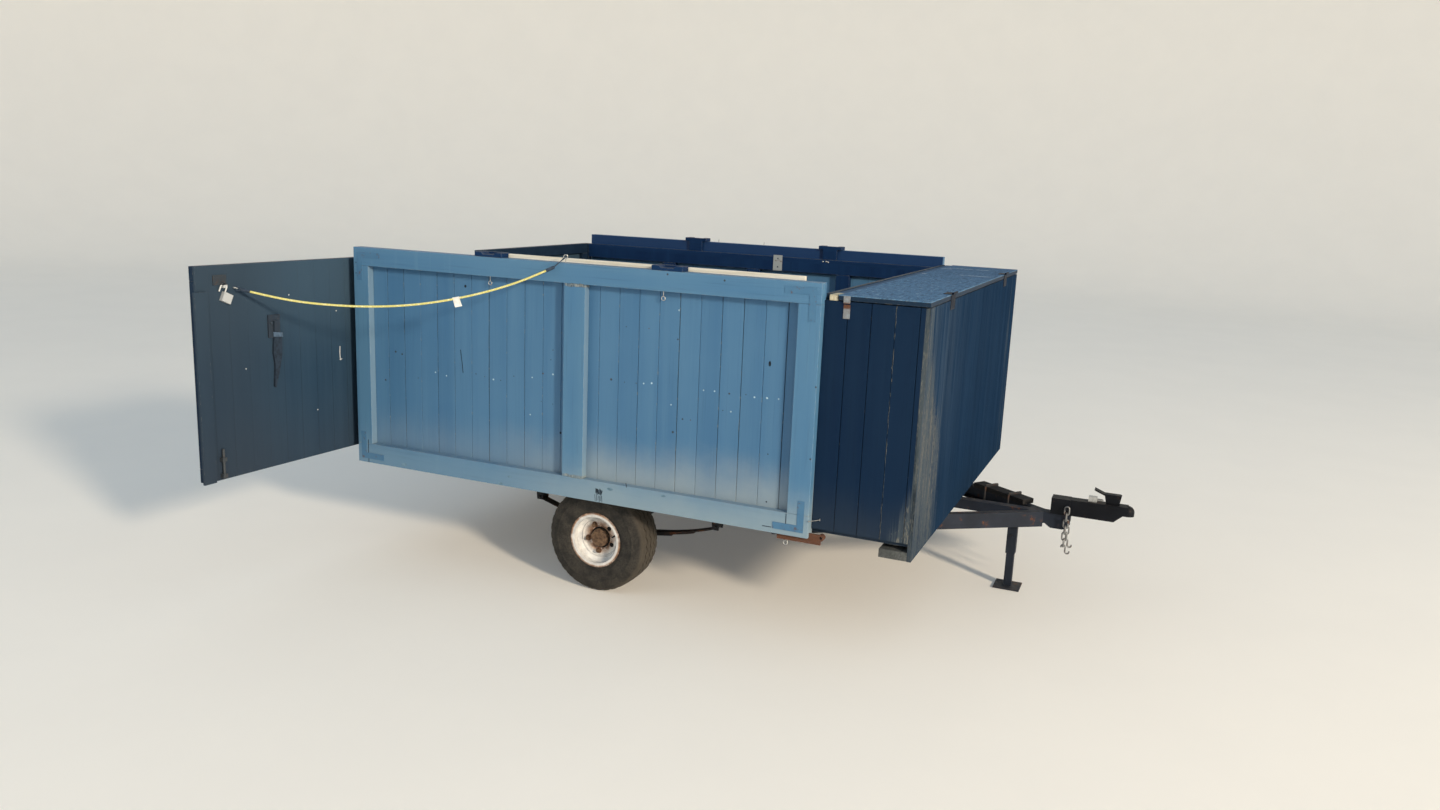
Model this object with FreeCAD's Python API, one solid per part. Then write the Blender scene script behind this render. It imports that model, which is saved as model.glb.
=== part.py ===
import FreeCAD, Part
import math
import os

# Home-built box trailer: a boarded wooden body on a light steel frame with one sprung axle.
# Origin at the centre of the coupler's ball socket, +X to the hitch, +Y to the left, +Z up.
# All sizes are in millimetres. Sizes named *_height are heights above the ground, *_places are
# measured along the bed from its rear end and *_front_setbacks back from its front end.

Vector = FreeCAD.Vector

# Driving dimensions of the whole trailer
ball_height = 480.0
hitch_reach = 1233.0
bed_length = 2440.0
overall_width = 2391.0
locker_length = 442.0
wall_clearance = 483.0
wall_height = 1095.0
rail_top_height = 502.0
axle_setback = 1344.0
joint_gap = 0.3

# Timber sections and the wall's framing
stud = 38.0
stud_wide = 89.0
board = 18.0
board_pitch = 100.5
first_seam = 76.0
groove_width = 4.0
groove_depth = 3.0
rear_stile_width = 90.0
front_stile_width = 100.0
top_rail_width = 90.0
bottom_rail_width = 100.0
centre_stile_width = 111.0
centre_stile_setback = 1214.0
inner_rail_drop = 62.0
floor_thickness = 18.0
inner_stud_places = (620.0, 1225.0)
inner_stud_front_setbacks = (610.0, 90.0)
joist_places = (24.0, 400.0, 760.0, 1100.0, 1500.0)
joist_front_setbacks = (620.0, 320.0, 24.0)
saddle_places = (800.0,)
saddle_front_setbacks = (710.0,)
saddle_length = 150.0
saddle_rise = 22.0
saddle_notch = 10.0
saddle_horn = 34.0
saddle_body_length = 94.0
batten_front_setback = 95.0
batten_thickness = 19.0
batten_rise = 18.0
eye_places = (800.0,)
eye_front_setbacks = (731.0,)
eye_drop = 122.0
eye_ring_radius = 9.0
eye_wire_radius = 2.0
eye_shank_radius = 1.8
eye_stand = 28.0
wall_eye_place = 1217.0
wall_eye_depth = 8.0
door_eye_place = 757.0
door_eye_drop = 103.0
iron_leg = 140.0
iron_width = 30.0
iron_plate = 2.0
iron_inset = 22.0
low_eye_front_setback = 108.0
low_eye_drop = 43.0
low_eye_depth = 30.0
bracket_place = 1393.0
bracket_width = 60.0
bracket_height = 98.0
bracket_rise = 10.0
bracket_plate = 3.0
bracket_holes = (22.0, 75.0)
bracket_hole_radius = 5.0
strap_setback = 145.0
strap_depth = 16.0
strap_thickness = 7.0
strap_height = 25.0
strap_lap = 68.0
strap_rise = 21.0
strap_eye_radius = 14.0
strap_eye_bore = 6.5
strap_eye_length = 26.0

# Steel frame and drawbar
rail_depth = 76.0
rail_flange = 38.0
rail_wall = 5.0
rail_setback = 142.0
rail_front_gap = 5.0
tongue_half_angle = 35.3
tongue_apex = 343.0
tongue_rear_overrun = 60.0
nose_rear = 460.0
nose_front = 262.0
nose_plate = 6.0
nose_corner_rise = 12.0
nose_corner_length = 30.0
nose_tail = 110.0
beam_size = 50.0
beam_wall = 4.0
beam_rear = 1450.0
crossmember_places = (60.0, 760.0)
crossmember_front_setbacks = (540.0, 40.0)
plank_gap = 7.0
plank_width = 76.0
plank_thickness = 26.0
plank_start = 150.0
u_bolt_radius = 5.0
u_bolt_setbacks = (91.0, 255.0)
clamp_play = 1.0
clamp_tail = 22.0
clamp_strap_length = 28.0
clamp_strap_overhang = 12.0
clamp_strap_thickness = 6.0

# Running gear
tyre_radius = 257.0
tyre_width = 190.0
tyre_inset = 88.0
tread_width = 146.0
shoulder_drop = 14.0
tread_crown = 3.0
tread_thickness = 18.0
tyre_wall = 12.0
bead_width = 22.0
rim_radius = 135.0
rim_width = 168.0
bead_radius = 120.0
well_radius = 101.0
rim_wall = 4.0
seat_width = 34.0
seat_slope = 12.0
disc_lip = 12.0
disc_lip_width = 6.0
disc_step = 8.0
disc_inset = 152.0
hub_bore_radius = 53.0
cap_radius = 44.0
cap_length = 20.0
cap_edge = 5.5
cap_wall = 7.0
hub_radius = 44.0
hub_flange_radius = 84.0
hub_flange_thickness = 10.0
hub_length = 62.0
hub_taper = 4.0
stud_circle_radius = 68.0
stud_hole_angles = (47.0, 119.0, 191.0, 263.0, 335.0)
nut_angles = (119.0, 191.0, 263.0)
stud_radius = 6.0
stud_hole_radius = 8.0
nut_radius = 11.0
nut_height = 12.0
stud_length = 18.0
valve_angle = 13.0
valve_circle_radius = 78.0
valve_hole_radius = 5.0
spindle_radius = 15.0
spindle_clearance = 0.05
spindle_end_gap = 1.0
spindle_collar = 5.0
hub_back_gap = 2.0
tube_end_gap = 20.0
axle_radius = 25.0
spring_length = 1000.0
spring_rise = 85.0
spring_width = 45.0
leaf_thickness = 6.0
leaf_lengths = (1000.0, 760.0, 520.0, 280.0)
eye_radius = 13.0
eye_bolt_radius = 6.0
eye_clearance = 0.8
hanger_plate = 6.0
hanger_top_length = 60.0
hanger_foot_length = 32.0
eye_bolt_end = 9.0
spring_pad = 8.0
spring_pad_length = 110.0
spring_pad_edge = 6.0
spring_bolt_gap = 1.5
spring_bolt_tail = 14.0

# Doors
door_rise = 1.0
door_bottom_height = 550.0
near_door_width = 947.0
door_sheet = 12.0
door_batten = 26.0
door_batten_width = 64.0
door_end_gap = 6.0
door_side_gap = 6.0
door_meeting_gap = 6.0
door_open_angle = 177.0
astragal_thickness = 12.0
astragal_width = 62.0
astragal_lap = 20.0
astragal_drop = 110.0
astragal_gap = 5.0
bolt_radius = 6.0
bolt_stand = 12.0
bolt_foot = 8.0
bolt_length = 146.0
staple_place = 137.0
staple_size = 14.0
staple_stand = 16.0
door_lock_width = 48.0
door_lock_height = 42.0
door_lock_thickness = 18.0
door_lock_edge = 8.0
door_lock_bend = 15.0
door_lock_wire = 3.5
door_lock_leg = 22.0
door_lock_free_leg = 30.0
door_lock_lean = 25.0

# Hinges shared by doors and lid
pin_radius = 3.0
knuckle_radius = 5.0
pin_clearance = 0.05
hinge_leaf = 2.5
hinge_length = 90.0
hinge_reach = 34.0
hinge_leaf_drop = 45.0
door_hinge_drops = (761.0, 466.0, 171.0)

# Locker and lid
locker_inset = 44.0
locker_side_height = 520.0
locker_front_height = 443.0
foot_beam_depth = 140.0
foot_beam_tail = 22.0
bearer_inset = 66.0
packer_inset = 20.0
packer_width = 44.0
lid_height = 1533.0
lid_sheet = 18.0
lid_felt = 4.0
lid_setback = 60.0
lid_overhang = 6.0
lid_gap = 5.0
lid_strip_drop = 3.0
lid_hinge_places = (470.0, 1900.0)
catch_setback = 22.0
catch_width = 28.0
catch_plate = 3.0
catch_drop = 12.0
catch_height = 58.0

# Coupler, chains and drop leg
socket_radius = 25.6
socket_skirt = 18.0
coupler_wall = 4.4
coupler_half_width = 31.0
coupler_box_half_width = 38.0
coupler_box_front = 267.0
coupler_box_rear = 356.0
coupler_box_top_height = 506.0
coupler_channel_top_height = 508.0
latch_setback = 42.0
latch_length = 61.0
latch_flare = 12.0
latch_front_flare = 7.0
latch_rise = 50.0
latch_width = 28.0
lever_width = 38.0
lever_thickness = 8.0
lever_reach = 47.0
lever_lift = 19.0
lock_setback = 146.0
lock_length = 40.0
lock_width = 32.0
lock_rise = 26.0
shackle_bend = 9.0
shackle_radius = 3.0
shackle_reach = 18.0
staple_radius = 4.0
staple_head = 4.0
chain_wire_radius = 4.0
chain_pitch = 34.0
chain_inner_width = 14.0
chain_links = 6
link_slack = 1.4
hook_bend = 10.0
hook_height = 50.0
chain_side = 55.0
chain_setback = 276.0
chain_anchor_height = 468.0
leg_setback = 530.0
leg_size = 38.0
leg_wall = 3.0
leg_socket_length = 190.0
leg_socket_wall = 4.0
leg_clearance = 0.5
leg_pin_radius = 6.0
leg_pin_tail = 14.0
leg_pin_head = 22.0
leg_flange_length = 100.0
leg_cap = 10.0
leg_end_gap = 2.0
foot_size = 130.0
foot_plate = 6.0

# Tail lamps
lamp_radius = 38.0
lamp_depth = 26.0
lamp_spread = 900.0
lamp_drop = 36.0
lamp_plate = 3.0

# Elastic cord from the open right door to the right wall's top
cord_radius = 5.0
cord_points = (
    (-3712, -1829, 922), (-3615, -1776, 898), (-3514, -1721, 880), (-3410, -1664, 871),
    (-3304, -1605, 867), (-3196, -1546, 870), (-3090, -1489, 880), (-2985, -1433, 898),
    (-2885, -1382, 922), (-2788, -1335, 951), (-2694, -1294, 985), (-2605, -1258, 1023),
    (-2519, -1226, 1067))
cord_arc_share = 0.45
hook_wire_radius = 2.5
neck_radius = 2.3
collar_radius = 8.0
collar_length = 26.0

# Places that follow from the sizes above
ground = -ball_height
half_width = overall_width / 2
bed_front = -hitch_reach
bed_rear = bed_front - bed_length
locker_front = bed_front + locker_length
wall_bottom = ground + wall_clearance
wall_top = wall_bottom + wall_height
rail_top = ground + rail_top_height
rail_bottom = rail_top - rail_depth
tongue_bottom = rail_bottom - rail_depth
joist_top = rail_top + stud_wide
floor_top = joist_top + floor_thickness
inner_depth = stud + board
stud_depth = inner_depth + stud
inner_rail_top = wall_top - inner_rail_drop
rail_y = half_width - tyre_inset - tyre_width - rail_setback
wheel_x = bed_rear + axle_setback
wheel_z = ground + tyre_radius
spring_seat = wheel_z - axle_radius
tyre_middle = tyre_inset + tyre_width / 2
door_top = inner_rail_top + door_rise
door_bottom = ground + door_bottom_height
door_outer = bed_rear - door_end_gap - door_sheet - door_batten
door_pin_x = door_outer - knuckle_radius
door_pin_depth = stud_depth + door_side_gap / 2
lid_top = ground + lid_height
lid_bottom = lid_top - lid_felt - lid_sheet
lid_rear = bed_front + lid_setback
lid_pin_x = locker_front + knuckle_radius + hinge_leaf
lid_pin_z = lid_top + knuckle_radius
locker_floor_top = rail_top + floor_thickness
locker_side_bottom = ground + locker_side_height
locker_front_bottom = ground + locker_front_height
beam_bottom = rail_bottom - beam_size
coupler_box_top = ground + coupler_box_top_height


# Shape helpers
def along_bed(places, front_setbacks):
    """The x of each place, some counted from the bed's rear end and some from its front end."""
    return [bed_rear + place for place in places] + [bed_front - setback for setback in front_setbacks]


def bar(x0, x1, y0, y1, z0, z1):
    """A straight block between two corners given in any order."""
    low = Vector(min(x0, x1), min(y0, y1), min(z0, z1))
    return Part.makeBox(abs(x1 - x0), abs(y1 - y0), abs(z1 - z0), low)


def inset(depth):
    """The y of a point at this depth behind the right wall's outer face."""
    return depth - half_width


def side_bar(x0, x1, depth0, depth1, z0, z1):
    return bar(x0, x1, inset(depth0), inset(depth1), z0, z1)


def mirrored(shape):
    return shape.mirror(Vector(0, 0, 0), Vector(0, 1, 0))


def face_of(points):
    corners = [Vector(*point) for point in points]
    return Part.Face(Part.makePolygon(corners + corners[:1]))


def prism_along_x(points, x0, x1):
    return face_of([(x0, y, z) for y, z in points]).extrude(Vector(x1 - x0, 0, 0))


def prism_along_y(points, y0, y1):
    return face_of([(x, y0, z) for x, z in points]).extrude(Vector(0, y1 - y0, 0))


def prism_along_z(points, z0, z1):
    return face_of([(x, y, z0) for x, y in points]).extrude(Vector(0, 0, z1 - z0))


def rod(start, end, radius):
    first, last = Vector(*start), Vector(*end)
    return Part.makeCylinder(radius, (last - first).Length, first, last - first)


def fuse(shapes):
    return shapes[0].multiFuse(shapes[1:]).removeSplitter()


def turned(shape, centre, axis, angle):
    copy = shape.copy()
    copy.rotate(Vector(*centre), Vector(*axis), angle)
    return copy


def moved(shape, x, y, z):
    copy = shape.copy()
    copy.translate(Vector(x, y, z))
    return copy


def save(node, solids):
    shape = solids[0] if len(solids) == 1 else Part.makeCompound(solids)
    shape.exportStep("parts/" + node + ".step")


def channel(length, depth, flange, wall):
    """A C channel along +X with its web on y = 0 and its flanges towards +Y, top at z = 0."""
    outline = [(0, -depth), (flange, -depth), (flange, wall - depth), (wall, wall - depth),
               (wall, -wall), (flange, -wall), (flange, 0), (0, 0)]
    return prism_along_x(outline, 0, length)


def square_tube(length, size, wall):
    """A square tube along +X centred on y = 0 with its top at z = 0."""
    half = size / 2
    outer = bar(0, length, -half, half, -size, 0)
    return outer.cut(bar(-1, length + 1, wall - half, half - wall, wall - size, -wall))


def grooved_boards(length, seam, z0, z1):
    """Upright boards along +X, grooved face on y = 0, back at y = board."""
    outline = [(0, 0)]
    while seam < length - groove_width:
        outline += [(seam - groove_width / 2, 0), (seam, groove_depth), (seam + groove_width / 2, 0)]
        seam += board_pitch
    outline += [(length, 0), (length, board), (0, board)]
    return prism_along_z(outline, z0, z1)


def arc_points(centre, out, up, start, end, steps):
    """Points on an arc from start to end degrees; out is its zero direction, up its 90 degrees."""
    angles = [math.radians(start + (end - start) * step / steps) for step in range(steps + 1)]
    return [centre + out * math.cos(angle) + up * math.sin(angle) for angle in angles]


def bent_wire(path, normal, radius, closed=False):
    """A six-sided wire mitred along a flat path; normal is square to the path's plane."""
    normal = Vector(normal).normalize()
    count = len(path)
    rings = []
    for number, point in enumerate(path):
        before = path[number - 1] if number or closed else None
        after = path[(number + 1) % count] if number < count - 1 or closed else None
        runs = [(point - before).normalize()] if before else []
        runs += [(after - point).normalize()] if after else []
        mean = (runs[0] + runs[-1]).normalize()
        side = normal.cross(mean) * (1 / mean.dot(runs[0]))
        corners = [math.radians(30 + 60 * corner) for corner in range(6)]
        rings.append([point + side * (radius * math.cos(a)) + normal * (radius * math.sin(a)) for a in corners])
    pairs = list(zip(rings, rings[1:]))
    if closed:
        pairs.append((rings[-1], rings[0]))
    faces = []
    for first, second in pairs:
        for corner in range(6):
            after = (corner + 1) % 6
            faces.append(flat_face([first[corner], first[after], second[after], second[corner]]))
    if not closed:
        faces += [flat_face(rings[0]), flat_face(rings[-1])]
    solid = Part.makeSolid(Part.makeShell(faces))
    if solid.Volume < 0:
        solid.reverse()
    return solid


def flat_face(points):
    return Part.Face(Part.makePolygon(points + points[:1]))


def ring(centre, normal, radius, wire_radius):
    """A closed round ring of wire."""
    normal = Vector(normal).normalize()
    helper = Vector(0, 0, 1) if abs(normal.z) < 0.9 else Vector(1, 0, 0)
    out = normal.cross(helper).normalize() * radius
    up = normal.cross(out)
    return bent_wire(arc_points(centre, out, up, 0, 330, 11), normal, wire_radius, True)


def u_bolt(span, drop, radius):
    """A U bolt in the YZ plane: its bend on top, centred on y = 0, z = 0."""
    half = span / 2
    corner = half / math.cos(math.radians(15))
    bend = arc_points(Vector(0, 0, 0), Vector(0, corner, 0), Vector(0, 0, corner), 15, 165, 5)
    path = [Vector(0, half, -drop)] + bend + [Vector(0, -half, -drop)]
    return bent_wire(path, (1, 0, 0), radius)


def opened(point):
    """Where a point given on the closed right door lies on the open one."""
    turn = math.radians(door_open_angle)
    along_x, along_y = point.x - door_pin_x, point.y - inset(door_pin_depth)
    return Vector(door_pin_x + along_x * math.cos(turn) - along_y * math.sin(turn),
                  inset(door_pin_depth) + along_x * math.sin(turn) + along_y * math.cos(turn), point.z)


wall_eye = Vector(bed_rear + wall_eye_place, inset(wall_eye_depth), wall_top + eye_stand)
door_eye_foot = Vector(door_outer, inset(door_pin_depth) + door_eye_place, door_top - door_eye_drop)
door_eye = door_eye_foot - Vector(eye_stand / 2, 0, 0)


def screw_eye(centre, foot, pull):
    """A ring on a shank; the ring's plane holds the shank and the line of pull."""
    shank = (foot - centre).normalize()
    eye = ring(centre, shank.cross(pull - centre), eye_ring_radius, eye_wire_radius)
    start = centre + shank * eye_ring_radius
    return fuse([eye, Part.makeCylinder(eye_shank_radius, (foot - start).Length, start, shank)])


# Side walls
def wall_frame():
    """Flat outer timbers: two rails, two end stiles and the centre stile."""
    low = wall_bottom + bottom_rail_width
    high = wall_top - top_rail_width
    centre = bed_rear + centre_stile_setback
    rails = [side_bar(bed_rear, bed_front, 0, stud, wall_bottom, low),
             side_bar(bed_rear, bed_front, 0, stud, high, wall_top)]
    stile_spans = ((bed_rear, bed_rear + rear_stile_width),
                   (bed_front - front_stile_width, bed_front),
                   (centre, centre + centre_stile_width))
    stiles = [side_bar(x0, x1, 0, stud, low + joint_gap, high - joint_gap) for x0, x1 in stile_spans]
    return rails + stiles


def wall_studs():
    """Sill, inner studs and inner top rail behind the boards."""
    solids = [side_bar(bed_rear, bed_front, inner_depth, stud_depth, rail_top, joist_top),
              side_bar(bed_rear, bed_front, inner_depth, stud_depth,
                       inner_rail_top - stud_wide, inner_rail_top)]
    for x in along_bed(inner_stud_places, inner_stud_front_setbacks):
        solids.append(side_bar(x - stud_wide / 2, x + stud_wide / 2, inner_depth, stud_depth,
                               joist_top + joint_gap, inner_rail_top - stud_wide - joint_gap))
    return solids


def saddle_block(x):
    """A notched block over the wall's top, with a cheek below it on the inner rail."""
    half = saddle_length / 2
    top, notch = wall_top + saddle_rise, wall_top + saddle_rise - saddle_notch
    outline = [(x - half, wall_top), (x + half, wall_top), (x + half, top), (x + half - saddle_horn, top),
               (x + half - saddle_horn - saddle_notch, notch), (x - half + saddle_horn + saddle_notch, notch),
               (x - half + saddle_horn, top), (x - half, top)]
    saddle = prism_along_y(outline, inset(joint_gap), inset(inner_depth + batten_thickness))
    cheek = side_bar(x - saddle_body_length / 2, x + saddle_body_length / 2, inner_depth + joint_gap,
                     inner_depth + batten_thickness, inner_rail_top, top)
    return fuse([saddle, cheek])


def top_battens():
    """Bare battens on the right wall's inner rail, standing a little above the panel."""
    half = saddle_length / 2 + joint_gap
    saddles = along_bed(saddle_places, saddle_front_setbacks)
    ends = [x - half for x in saddles[1:]] + [bed_front - batten_front_setback]
    return [side_bar(saddle + half, end, inner_depth + joint_gap, inner_depth + batten_thickness,
                     inner_rail_top, wall_top + batten_rise)
            for saddle, end in zip(saddles, ends)]


def corner_iron(x, z, toward_x, toward_z):
    """A flat L iron on the panel's face, its outer corner at x, z."""
    outline = [(x, z), (x + toward_x * iron_leg, z), (x + toward_x * iron_leg, z + toward_z * iron_width),
               (x + toward_x * iron_width, z + toward_z * iron_width),
               (x + toward_x * iron_width, z + toward_z * iron_leg), (x, z + toward_z * iron_leg)]
    return prism_along_y(outline, inset(0), inset(-iron_plate))


def corner_irons():
    x0, x1 = bed_rear + iron_inset, bed_front - iron_inset
    z0, z1 = wall_bottom + iron_inset, wall_top - iron_inset
    return [corner_iron(x0, z1, 1, -1), corner_iron(x1, z1, -1, -1),
            corner_iron(x0, z0, 1, 1), corner_iron(x1, z0, -1, 1)]


def hung_eye(x):
    """An eye screw in the underside of the panel's top rail."""
    y, z = inset(stud / 2), wall_top - eye_drop
    return screw_eye(Vector(x, y, z), Vector(x, y, wall_top - top_rail_width), Vector(x + 1, y, z - 1))


def low_eye():
    """An eye screw in the underside of the right wall near its front."""
    x, y, z = bed_front - low_eye_front_setback, inset(low_eye_depth), wall_bottom - low_eye_drop
    return screw_eye(Vector(x, y, z), Vector(x, y, wall_bottom), Vector(x + 1, y, z - 1))


def wall_bracket():
    """A thin plate with two holes on the inner top rail, given on the right wall."""
    x0, x1 = bed_rear + bracket_place - bracket_width / 2, bed_rear + bracket_place + bracket_width / 2
    top = inner_rail_top + bracket_rise
    plate = side_bar(x0, x1, stud_depth, stud_depth + bracket_plate, top - bracket_height, top)
    for drop in bracket_holes:
        plate = plate.cut(rod((bed_rear + bracket_place, inset(0), top - drop),
                              (bed_rear + bracket_place, 0, top - drop), bracket_hole_radius))
    return plate


def sill_strap():
    """A strap under the right wall's front end whose rolled eye stands clear of the corner."""
    front, top = bed_front + strap_lap, wall_bottom - joint_gap
    depth0, depth1 = strap_depth, strap_depth + strap_thickness
    strap = side_bar(bed_front - strap_setback, front - strap_eye_radius, depth0, depth1, top - strap_height, top)
    end = side_bar(bed_front + joint_gap, front - strap_eye_radius, depth0, depth1, top - strap_height,
                   wall_bottom + strap_rise)
    x, z = front - strap_eye_radius, wall_bottom + strap_rise - strap_eye_radius
    eye = rod((x, inset(depth0), z), (x, inset(depth0 + strap_eye_length), z), strap_eye_radius)
    bore = rod((x, inset(0), z), (x, inset(depth0 + strap_eye_length + 1), z), strap_eye_bore)
    return fuse([strap, end, eye]).cut(bore)


def build_walls():
    frame, studs = wall_frame(), wall_studs()
    boards = moved(grooved_boards(bed_length, first_seam, wall_bottom, wall_top), bed_rear, inset(stud), 0)
    post = side_bar(door_outer, bed_rear - joint_gap, inner_depth, stud_depth, rail_top, inner_rail_top)
    blocks = [saddle_block(x) for x in along_bed(saddle_places, saddle_front_setbacks)]
    save("wall_right_frame", frame)
    save("wall_right_boards", [boards])
    save("wall_right_studs", studs)
    save("wall_left_frame", [mirrored(solid) for solid in frame])
    save("wall_left_boards", [mirrored(boards)])
    save("wall_left_studs", [mirrored(solid) for solid in studs])
    save("corner_posts", [post, mirrored(post)])
    save("saddle_blocks", blocks + [mirrored(block) for block in blocks])
    save("top_battens", top_battens())
    irons = corner_irons()
    foot = Vector(wall_eye.x, wall_eye.y, wall_top)
    eyes = [hung_eye(x) for x in along_bed(eye_places, eye_front_setbacks)]
    eyes += [screw_eye(wall_eye, foot, Vector(*cord_points[-1])), low_eye()]
    save("wall_irons", irons + [mirrored(iron) for iron in irons] + [mirrored(wall_bracket())])
    save("eye_screws", eyes)


# Floor
def build_floor():
    reach = half_width - stud_depth - joint_gap
    joists = [bar(x - stud / 2, x + stud / 2, -reach, reach, rail_top, joist_top)
              for x in along_bed(joist_places, joist_front_setbacks)]
    save("floor_joists", joists)
    save("floor_deck", [bar(bed_rear, bed_front, -reach, reach, joist_top, floor_top)])


# Steel frame
def side_rail():
    """The right rail: a channel with its web outside."""
    length = locker_front - foot_beam_depth - rail_front_gap - bed_rear
    rail = moved(channel(length, rail_depth, rail_flange, rail_wall), bed_rear, -rail_y - rail_flange / 2, 0)
    return moved(rail, 0, 0, rail_top)


def crossmember(x):
    """A channel between the side rails, its open side to the rear."""
    length = 2 * (rail_y + rail_flange / 2 - rail_wall - joint_gap)
    depth = rail_depth - 2 * rail_wall - 2 * joint_gap
    cross = turned(channel(length, depth, rail_flange, rail_wall), (0, 0, 0), (0, 0, 1), 90)
    return moved(cross, x, -length / 2, rail_top - rail_wall - joint_gap)


def drawbar_arm():
    """The right arm: a channel under the side rail that runs in to the centre beam."""
    angle = math.radians(tongue_half_angle)
    reach = (rail_y + tongue_rear_overrun) / math.sin(angle)
    arm = moved(channel(reach, rail_depth, rail_flange, rail_wall), -reach, 0, rail_bottom)
    arm = turned(arm, (0, 0, 0), (0, 0, 1), tongue_half_angle)
    arm = moved(arm, -tongue_apex, 0, 0)
    nose_side = beam_size / 2 + nose_plate + joint_gap
    return arm.cut(bar(-hitch_reach, 0, -nose_side, half_width, tongue_bottom - 1, rail_bottom + 1))


def drawbar_nose():
    """Side plates that join the arms to the beam's end under the coupler."""
    side = beam_size / 2
    outline = [(-nose_rear, rail_bottom), (-nose_front, rail_bottom),
               (-nose_front, tongue_bottom + nose_corner_rise),
               (-nose_front - nose_corner_length, tongue_bottom), (-nose_rear + nose_tail, tongue_bottom)]
    plate = prism_along_y(outline, -side - nose_plate, -side)
    return [plate, mirrored(plate)]


def arm_frame(shape, sign):
    """Place a shape given along the left arm: x back from the apex, y = 0 on the web's outer face."""
    shape = turned(shape, (0, 0, 0), (0, 0, 1), -tongue_half_angle)
    shape = moved(shape, -tongue_apex, 0, 0)
    return shape if sign > 0 else mirrored(shape)


def plank_and_clamps():
    """The plank that lies on the left arm and the two U bolts that clamp it."""
    middle = -rail_flange / 2
    angle = math.radians(tongue_half_angle)
    reach = -locker_front - plank_gap - tongue_apex - (plank_width / 2 - middle) * math.sin(angle)
    plank_end = reach / math.cos(angle)
    plank = bar(-plank_end, -plank_start, middle - plank_width / 2, middle + plank_width / 2,
                rail_bottom + joint_gap, rail_bottom + joint_gap + plank_thickness)
    span = plank_width + 2 * u_bolt_radius + 2 * clamp_play
    clamps = []
    for setback in u_bolt_setbacks:
        place = plank_end - setback
        top = rail_bottom + plank_thickness + joint_gap
        legs = [rod((-place, middle + side * span / 2, tongue_bottom - clamp_tail),
                    (-place, middle + side * span / 2, top + u_bolt_radius), u_bolt_radius)
                for side in (-1, 1)]
        bridge = bar(-place - u_bolt_radius, -place + u_bolt_radius, middle - span / 2, middle + span / 2,
                     top + joint_gap, top + joint_gap + 2 * u_bolt_radius)
        strap_half, strap_reach = clamp_strap_length / 2, span / 2 + clamp_strap_overhang
        strap = bar(-place - strap_half, -place + strap_half, middle - strap_reach, middle + strap_reach,
                    tongue_bottom - clamp_strap_thickness - joint_gap, tongue_bottom - joint_gap)
        clamps.append(arm_frame(fuse(legs + [bridge, strap]), 1))
    return arm_frame(plank, 1), clamps


def build_frame():
    rail, arm = side_rail(), drawbar_arm()
    beam = moved(square_tube(beam_rear - nose_front, beam_size, beam_wall), -beam_rear, 0, rail_bottom)
    plank, clamps = plank_and_clamps()
    save("side_rails", [rail, mirrored(rail)])
    save("crossmembers", [crossmember(x) for x in along_bed(crossmember_places, crossmember_front_setbacks)])
    save("drawbar_arm_right", [arm])
    save("drawbar_arm_left", [mirrored(arm)])
    save("drawbar_beam", [fuse([beam] + drawbar_nose())])
    save("drawbar_plank", [plank])
    save("plank_clamps", clamps)


# Coupler
def channel_top(x):
    """Height of the coupler channel's top, which slopes up a little to the socket."""
    high = ground + coupler_channel_top_height
    return high + (coupler_box_top - high) * -x / coupler_box_front


def coupler_body():
    """A pressed channel with a rear box and a domed ball socket at the front."""
    low, box_top = rail_bottom + joint_gap, coupler_box_top
    top, wall = ground + coupler_channel_top_height, coupler_wall
    outer_radius = socket_radius + wall
    box = bar(-coupler_box_rear, -coupler_box_front, -coupler_box_half_width, coupler_box_half_width, low, box_top)
    outline = [(-coupler_box_front - 1, low), (-outer_radius * 2, low), (-outer_radius * 0.7, -socket_skirt),
               (0, -socket_skirt), (0, top), (-coupler_box_front - 1, box_top)]
    body = prism_along_y(outline, -coupler_half_width, coupler_half_width)
    skirt = rod((0, 0, -socket_skirt), (0, 0, 0), outer_radius)
    dome = Part.makeSphere(outer_radius)
    dome = dome.common(bar(-outer_radius, outer_radius, -outer_radius, outer_radius, 0, outer_radius))
    inner = [(-coupler_box_rear - 1, low - 1), (-outer_radius * 1.4, low - 1), (-outer_radius * 1.4, top - wall),
             (-coupler_box_front, box_top - wall), (-coupler_box_rear - 1, box_top - wall)]
    hollow = prism_along_y(inner, wall - coupler_half_width, coupler_half_width - wall)
    ball = Part.makeSphere(socket_radius)
    well = rod((0, 0, -ball_height / 2), (0, 0, 0), socket_radius)
    staples = []
    for side in (-1, 1):
        x, z = -chain_setback, ground + chain_anchor_height
        reach = chain_side + chain_wire_radius + chain_inner_width / 2
        root = coupler_box_half_width - coupler_wall
        staples.append(rod((x, side * root, z), (x, side * reach, z), staple_radius))
        staples.append(rod((x, side * reach, z), (x, side * (reach + staple_head), z), 2 * staple_radius))
    body = fuse([box, body, skirt, dome] + staples).cut(hollow).cut(ball.fuse(well))
    return body.removeSplitter()


def coupler_latch():
    """The lock block on the channel, wider at its top, and its lever rising to the rear."""
    rear, front = -latch_setback - latch_length, -latch_setback
    base = channel_top(rear) + joint_gap
    top = base + latch_rise
    heel, tip = rear - latch_flare, rear - latch_flare - lever_reach
    block = prism_along_y([(rear, base), (front, channel_top(front) + joint_gap), (front + latch_front_flare, top),
                           (heel, top)], -latch_width / 2, latch_width / 2)
    under = top - lever_thickness
    lever = prism_along_y([(tip, under + lever_lift), (heel, under), (front, under), (front, top), (heel, top),
                           (tip, top + lever_lift)], -lever_width / 2, lever_width / 2)
    return fuse([block, lever])


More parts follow.
